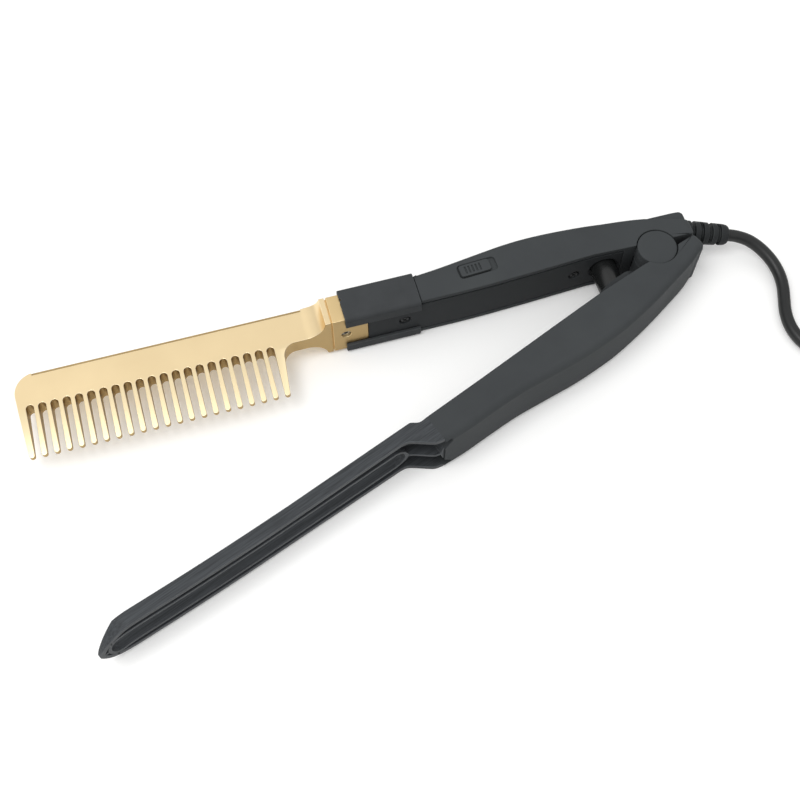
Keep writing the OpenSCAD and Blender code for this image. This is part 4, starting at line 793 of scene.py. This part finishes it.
def spring_sleeve():
    """The post between the arms that houses the return spring, drafted towards its round lip."""
    r, ri = SLEEVE_D / 2, SLEEVE_D / 2 - SLEEVE_T
    start = edge_at(COMB_INNER, -SLEEVE_X) - SLEEVE_LEN
    back = SLEEVE_LEN + COVER_T + 0.25
    out = [(ri, back + 3.1), (ri, 0.3), (ri + 0.2, 0), (r - 0.6, 0), (r - 0.35, 0.3), (r, SLEEVE_LEN),
           (r, back), (r + 1, back), (r + 1, back + 4), (3, back + 4), (3, 14.5 - start)]
    made = turned(out, (-SLEEVE_X, start, MID_Z), (0, 1, 0))
    return settle(made, "spring_guide_sleeve", "comb_arm", ["spring_sleeve"],
                  sleeve_acetal, broken=0)


# ---------- press jaw ----------
def jaw_side(d, root_x):
    """The jaw from the front, drawn in by d: straight flanges and a pointed prow."""
    half = JAW_H / 2
    r = (JAW_PROW ** 2 + half ** 2) / (2 * half)
    x0, sweep = -JAW_TIP_X + JAW_PROW, math.degrees(math.asin(JAW_PROW / r))
    drawn_in = (root_x - JAW_ROOT_X) / (JAW_TAPER_X - JAW_ROOT_X) * (BODY_H / 2 - half)
    top = [(-root_x, min(BODY_H / 2, BODY_H / 2 - drawn_in) - d), (-JAW_TAPER_X, half - d)]
    top += [(x0 - (r - d) * math.sin(a), half - r + (r - d) * math.cos(a))
            for a in (math.radians(sweep * i / 16) for i in range(17))]
    nose = [p for p in top if p[1] > 0.15]
    return [(x, MID_Z + z) for x, z in nose] + [(x, MID_Z - z) for x, z in reversed(nose)]


def slot_side(d):
    """The slot from the front, its wall grown by d, with a flatter far end."""
    h = SLOT_H / 2 + d
    x0, x1 = -SLOT_END_X - d, -SLOT_NEAR_X + d
    return ([(p.x, MID_Z + p.y) for p in arc(x0 + h * 0.8, 0, h * 0.8, h, 90, 270, 20)]
            + [(p.x, MID_Z + p.y) for p in arc(x1 - h, 0, h, h, -90, 90, 20)])


def jaw_skin():
    """The jaw's outside: straight walls, a blunt prow and a flare towards the handle."""
    inner = smooth(JAW_INNER, 4)
    outer = [p - Vector((0, JAW_T)) for p in inner if p.x < -JAW_FLARE_X - 2]
    flare = smooth([(-JAW_FLARE_X - 2, -2.4 - JAW_T), (-JAW_FLARE_X, -2.4 - JAW_T - 0.4),
                    (-JAW_FLARE_X + 2, -9.2), (-JAW_SHOULDER_X - 1.5, -12.6),
                    (-JAW_SHOULDER_X + 0.6, -14.1), (-JAW_ROOT_X, -14.9)], 5)
    nose = smooth([(-JAW_TIP_X + x, y) for x, y in (
        (10, 0), (6.5, -1.4), (3.5, -2.6), (1.2, -3.5), (0, -4.3), (0.6, -5.1), (3, -5.4), (7, -5.3))], 3)
    root = smooth([(-JAW_ROOT_X, -4.3), (-JAW_ROOT_X - 3, -4.3), (-JAW_ROOT_X - 5.6, -2.6), (-120, -2.4)], 4)
    made = prism(root[:-1] + inner[::-1] + nose[1:-1] + outer[1:] + flare, -1, BODY_H + 1)
    return within(made, prism(jaw_side(0, JAW_ROOT_X), -30, 5, "Y"))


def jaw_channel():
    """What is cut from the jaw's outer side: two troughs round the slot's wall, parted by a web."""
    inner = smooth(JAW_INNER, 4)
    floor = [p - Vector((0, FLOOR_T)) for p in inner if p.x < -JAW_FLARE_X + 2]
    end = JAW_ROOT_X - 3
    made = prism([(-end, -30), (-end, -9.4)] + floor[::-1]
                 + [(-JAW_TIP_X + 7, -2.9), (-JAW_TIP_X + 2.4, -4.4), (-JAW_TIP_X + 2.4, -30)],
                 -1, BODY_H + 1)
    within(made, prism(jaw_side(FLANGE_W, end), -30, 5, "Y"))
    return cut(made, prism(slot_side(SLOT_WALL), -30, 5, "Y"), bored(-end + 6, 0, 10, -30, 5, steps=96),
               block(-JAW_TIP_X, -SLOT_END_X, -30, 10, MID_Z - WEB_T / 2, MID_Z + WEB_T / 2),
               block(-SLOT_NEAR_X - 1, -end + 1, -30, 10, MID_Z - WEB_T / 2, MID_Z + WEB_T / 2))


def press_arm():
    """Handle and jaw are shaped in one skin, so that they run into each other flush, and then parted."""
    whole = merge(press_arm_shell(), jaw_skin())
    cut(whole, jaw_channel(), prism(slot_side(0), -30, 5, "Y"))
    jaw = whole.copy()
    jaw.data = whole.data.copy()
    bpy.context.scene.collection.objects.link(jaw)
    for part, side in ((whole, 1), (jaw, -1)):
        break_edges(parted(part, -JAW_ROOT_X, side), 0.22, seam_x=-JAW_ROOT_X)
        moved(part, SWUNG)
    settle(whole, "press_arm_handle", "press_arm", ["press_arm_shell"], handle_abs,
           broken=None)
    settle(jaw, "press_jaw_channel", "press_arm", ["press_jaw"], jaw_nylon, broken=None)


# ---------- mains lead ----------
def strain_relief():
    """A tapered boot, slotted from alternate sides so that it bends in an even curve."""
    r, core = BOOT_D / 2, CORD_D / 2
    made = turned([(core + 1.1, -BOOT_IN), (core + 1.1, BOOT_GAP - 0.01), (r - 0.4, BOOT_GAP),
                   (r, BOOT_GAP + 0.4), (r - 0.5, BOOT_LEN - 2), (r - 0.75, BOOT_LEN - 0.9),
                   (r - 1.2, BOOT_LEN - 0.2), (core + 0.5, BOOT_LEN)], BOOT_AT, BOOT_DIR)
    side = BOOT_DIR.orthogonal().normalized()
    across = BOOT_DIR.cross(side)
    front = Vector((0, -0.45, 0.89))
    upright = math.atan2(front.dot(across), front.dot(side))
    pitch = (BOOT_LEN - 4) / BOOT_SLOTS
    for i in range(BOOT_SLOTS):
        middle = upright + math.radians(-30 if i % 2 == 0 else 30)
        at, wide = BOOT_AT + (2.6 + i * pitch) * BOOT_DIR, BOOT_SLOT_W * BOOT_DIR
        rings = []
        for k in range(25):
            a = middle + math.radians(-100 + 200 * k / 24)
            out = math.cos(a) * side + math.sin(a) * across
            low, high = at + (core + 0.4) * out, at + 8 * out
            rings.append([low, high, high + wide, low + wide])
        cut(made, loft(rings))
    return settle(made, "strain_relief_boot", "comb_arm", ["strain_relief"], boot_pvc,
                  broken=0.18)


def coil_tie():
    """A flat strap round all turns of the coil."""
    r0 = COIL_IN_R - COIL_BOW - CORD_D / 2 - TIE_GAP
    r1 = COIL_OUT_R + COIL_BOW + CORD_D / 2 + TIE_GAP
    z1 = COIL_Z + COIL_PITCH * (COIL_LAYERS - 1) + CORD_D / 2 + TIE_GAP

    def band(width, height, radius, half):
        outline = rounded_box(width, height, radius)
        return prism([(p.x + (r0 + r1) / 2, p.y + (z1 + TIE_T) / 2) for p in outline], -half, half, "Y")

    loop = band(r1 - r0 + 2 * TIE_T, z1 + TIE_T, 1.2, TIE_W / 2)
    cut(loop, band(r1 - r0, z1 - TIE_T, 0.6, TIE_W))
    moved(loop, about_z(TIE_ANGLE, *COIL_C))
    return settle(loop, "coil_tie_strap", "comb_arm", ["coil_tie"], tie_nylon, broken=0.12)


def plug_frame():
    """From the plug's own axes, X along its pins and Z up, to its place."""
    return (Matrix.Translation(PLUG_AT * MM)
            @ Matrix.Rotation(math.atan2(END_DIR.y, END_DIR.x), 4, "Z"))


def plug_body():
    """Moulded plug: a ribbed neck that widens into a waisted body."""
    body = prism([(x + PLUG_NECK, y) for x, y in (
        (0, -5), (9, -PLUG_W / 2), (PLUG_LEN, -PLUG_W / 2), (PLUG_LEN, PLUG_W / 2), (9, PLUG_W / 2), (0, 5))],
        -30, 30)
    within(body, prism([(p.x, p.y) for p in rounded_box(PLUG_W, 2 * PLUG_HALF, 3.5)], 0, 60, "X"))

    def round_part(*profile):
        return turned(profile, (0, 0, 0), (1, 0, 0))

    merge(body, round_part((CORD_D / 2 + 0.8, 0), (4.5, PLUG_NECK), (5.2, PLUG_NECK + 3)))
    r = CORD_D / 2 + 0.4
    for x in (4, 8, 12):
        cut(body, cut(round_part((7, x), (7, x + 1.4)), round_part((r, x - 1), (r, x + 3))))
    end = PLUG_NECK + PLUG_LEN
    for y in (-PIN_OFF, PIN_OFF):
        cut(body, block(end - 6, end + 1, y - 0.9, y + 0.9, -3.3, 3.3))
    moved(body, plug_frame())
    return settle(body, "moulded_plug", "comb_arm", ["plug_body"], lead_pvc, broken=0.5)


def plug_pins():
    """Two flat pins with tapered ends, seated in the plug."""
    made = None
    x0, x1, half, tip = PLUG_NECK + PLUG_LEN - PIN_SEAT, PIN_LEN - 2.3, PIN_HALF_W, PIN_HALF_W - 1
    for y in (-PIN_OFF, PIN_OFF):
        pin = prism([(x0, -half), (x0 + x1, -half), (x0 + PIN_LEN, -tip), (x0 + PIN_LEN, tip),
                     (x0 + x1, half), (x0, half)], y - PIN_HALF_T, y + PIN_HALF_T, "Y")
        made = merge(made, pin) if made else pin
    moved(made, plug_frame())
    return settle(made, "plug_flat_pins", "comb_arm", ["plug_pins"], pin_nickel, broken=0.25)


comb()
heater_block()
heat_guard()
comb_arm_shell()
comb_arm_cover()
press_arm()
press_arm_cover()
cover_screws("comb_arm_cover_screws", "comb_arm", "comb_cover_screws",
             [(x, edge_at(COMB_INNER, -x)) for x in COMB_SCREW_X], -1, 0)
cover_screws("press_arm_cover_screws", "press_arm", "press_cover_screws",
             [(x, edge_at(PRESS_INNER, -x)) for x in PRESS_SCREW_X], 1, OPEN_ANGLE)
slide_knob()
hinge_cap("hinge_cap_upper", "hinge_cap_top", ARM_Z1, CAP_Z0, 1)
hinge_cap("hinge_cap_lower", "hinge_cap_bottom", 0, EYE_LOW_Z0, -1)
spring_sleeve()
strain_relief()
tie, plug, pins = coil_tie(), plug_body(), plug_pins()
cord = mains_cord()
cord.data.materials.append(lead_pvc)

# The CAD nodes that stay get their real finishes.
for node, material in {
        "set_screw": pin_zinc, "heater_rod": alumina, "thermal_fuse": fuse_tin, "switch_body": switch_pa,
        "circuit_board": board_mask, "heater_leads": lead_silicone, "supply_leads": lead_silicone,
        "hinge_pin": pin_zinc, "return_spring": spring_wire, "jaw_screws": pin_zinc}.items():
    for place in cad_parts[node].material_slots:
        place.material = material


# ---------- table and light ----------
TABLE_GLOW = 0.09      # lifts the table to white for the eye and in reflections, not as diffuse light


def table_top():
    """A plain white table. To the camera it is close to white, and it keeps the tool's shadow."""
    top = block(-2500, 2500, -2500, 2500, -10, 0, "table_top")
    material = bpy.data.materials.new("matt_white_table")
    material.use_nodes = True
    tree = material.node_tree
    skin = tree.nodes["Principled BSDF"]
    skin.inputs["Base Color"].default_value = linear("#F8F8F7")
    skin.inputs["Roughness"].default_value = 0.7
    path = add(tree, "ShaderNodeLightPath").outputs
    seen = path["Is Camera Ray"]
    for ray in ("Is Glossy Ray", "Is Transmission Ray"):
        seen = add(tree, "ShaderNodeMath", {0: seen, 1: path[ray]}, operation="MAXIMUM").outputs[0]
    share = add(tree, "ShaderNodeMath", {0: seen, 1: TABLE_GLOW}, operation="MULTIPLY")
    glow = add(tree, "ShaderNodeEmission", {"Color": (1, 1, 1, 1), "Strength": share.outputs[0]})
    both = add(tree, "ShaderNodeAddShader", {0: skin.outputs[0], 1: glow.outputs[0]})
    tree.links.new(both.outputs[0], tree.nodes["Material Output"].inputs["Surface"])
    top.data.materials.append(material)


def studio_light():
    """A bright ceiling, darker towards the horizon but less so at the sides, and a soft lamp at the left."""
    world = bpy.data.worlds.new("studio")
    world.use_nodes = True
    tree = world.node_tree
    way = add(tree, "ShaderNodeSeparateXYZ", {0: add(tree, "ShaderNodeTexCoord").outputs["Generated"]}).outputs
    aside = add(tree, "ShaderNodeMath", {0: way["X"]}, operation="ABSOLUTE").outputs[0]
    height = add(tree, "ShaderNodeMath", {0: aside, 1: 0.7, 2: way["Z"]}, operation="MULTIPLY_ADD").outputs[0]
    glow = add(tree, "ShaderNodeMapRange", {"Value": height, "From Min": 0.3, "From Max": 0.85, "To Min": 0.1,
                                            "To Max": 0.92}).outputs[0]
    path = add(tree, "ShaderNodeLightPath").outputs
    room = add(tree, "ShaderNodeBackground", {"Color": (1, 1, 1, 1), "Strength": glow})
    white = add(tree, "ShaderNodeBackground", {"Color": (1, 1, 1, 1), "Strength": 1.0})
    both = add(tree, "ShaderNodeMixShader", {0: path["Is Camera Ray"], 1: room.outputs[0], 2: white.outputs[0]})
    tree.links.new(both.outputs[0], tree.nodes["World Output"].inputs["Surface"])
    bpy.context.scene.world = world
    lamp = bpy.data.objects.new("soft_lamp", bpy.data.lights.new("soft_lamp", "AREA"))
    lamp.data.shape, lamp.data.size, lamp.data.size_y = "RECTANGLE", 0.6, 0.5
    lamp.data.energy = 5.5
    lamp.location = (-0.5, -0.15, 1.12)
    lamp.rotation_euler = (Vector((-0.08, 0, 0)) - lamp.location).to_track_quat("-Z", "Y").to_euler()
    bpy.context.scene.collection.objects.link(lamp)


table_top()
studio_light()
bpy.context.scene.view_settings.view_transform = "Standard"

bpy.context.view_layer.update()
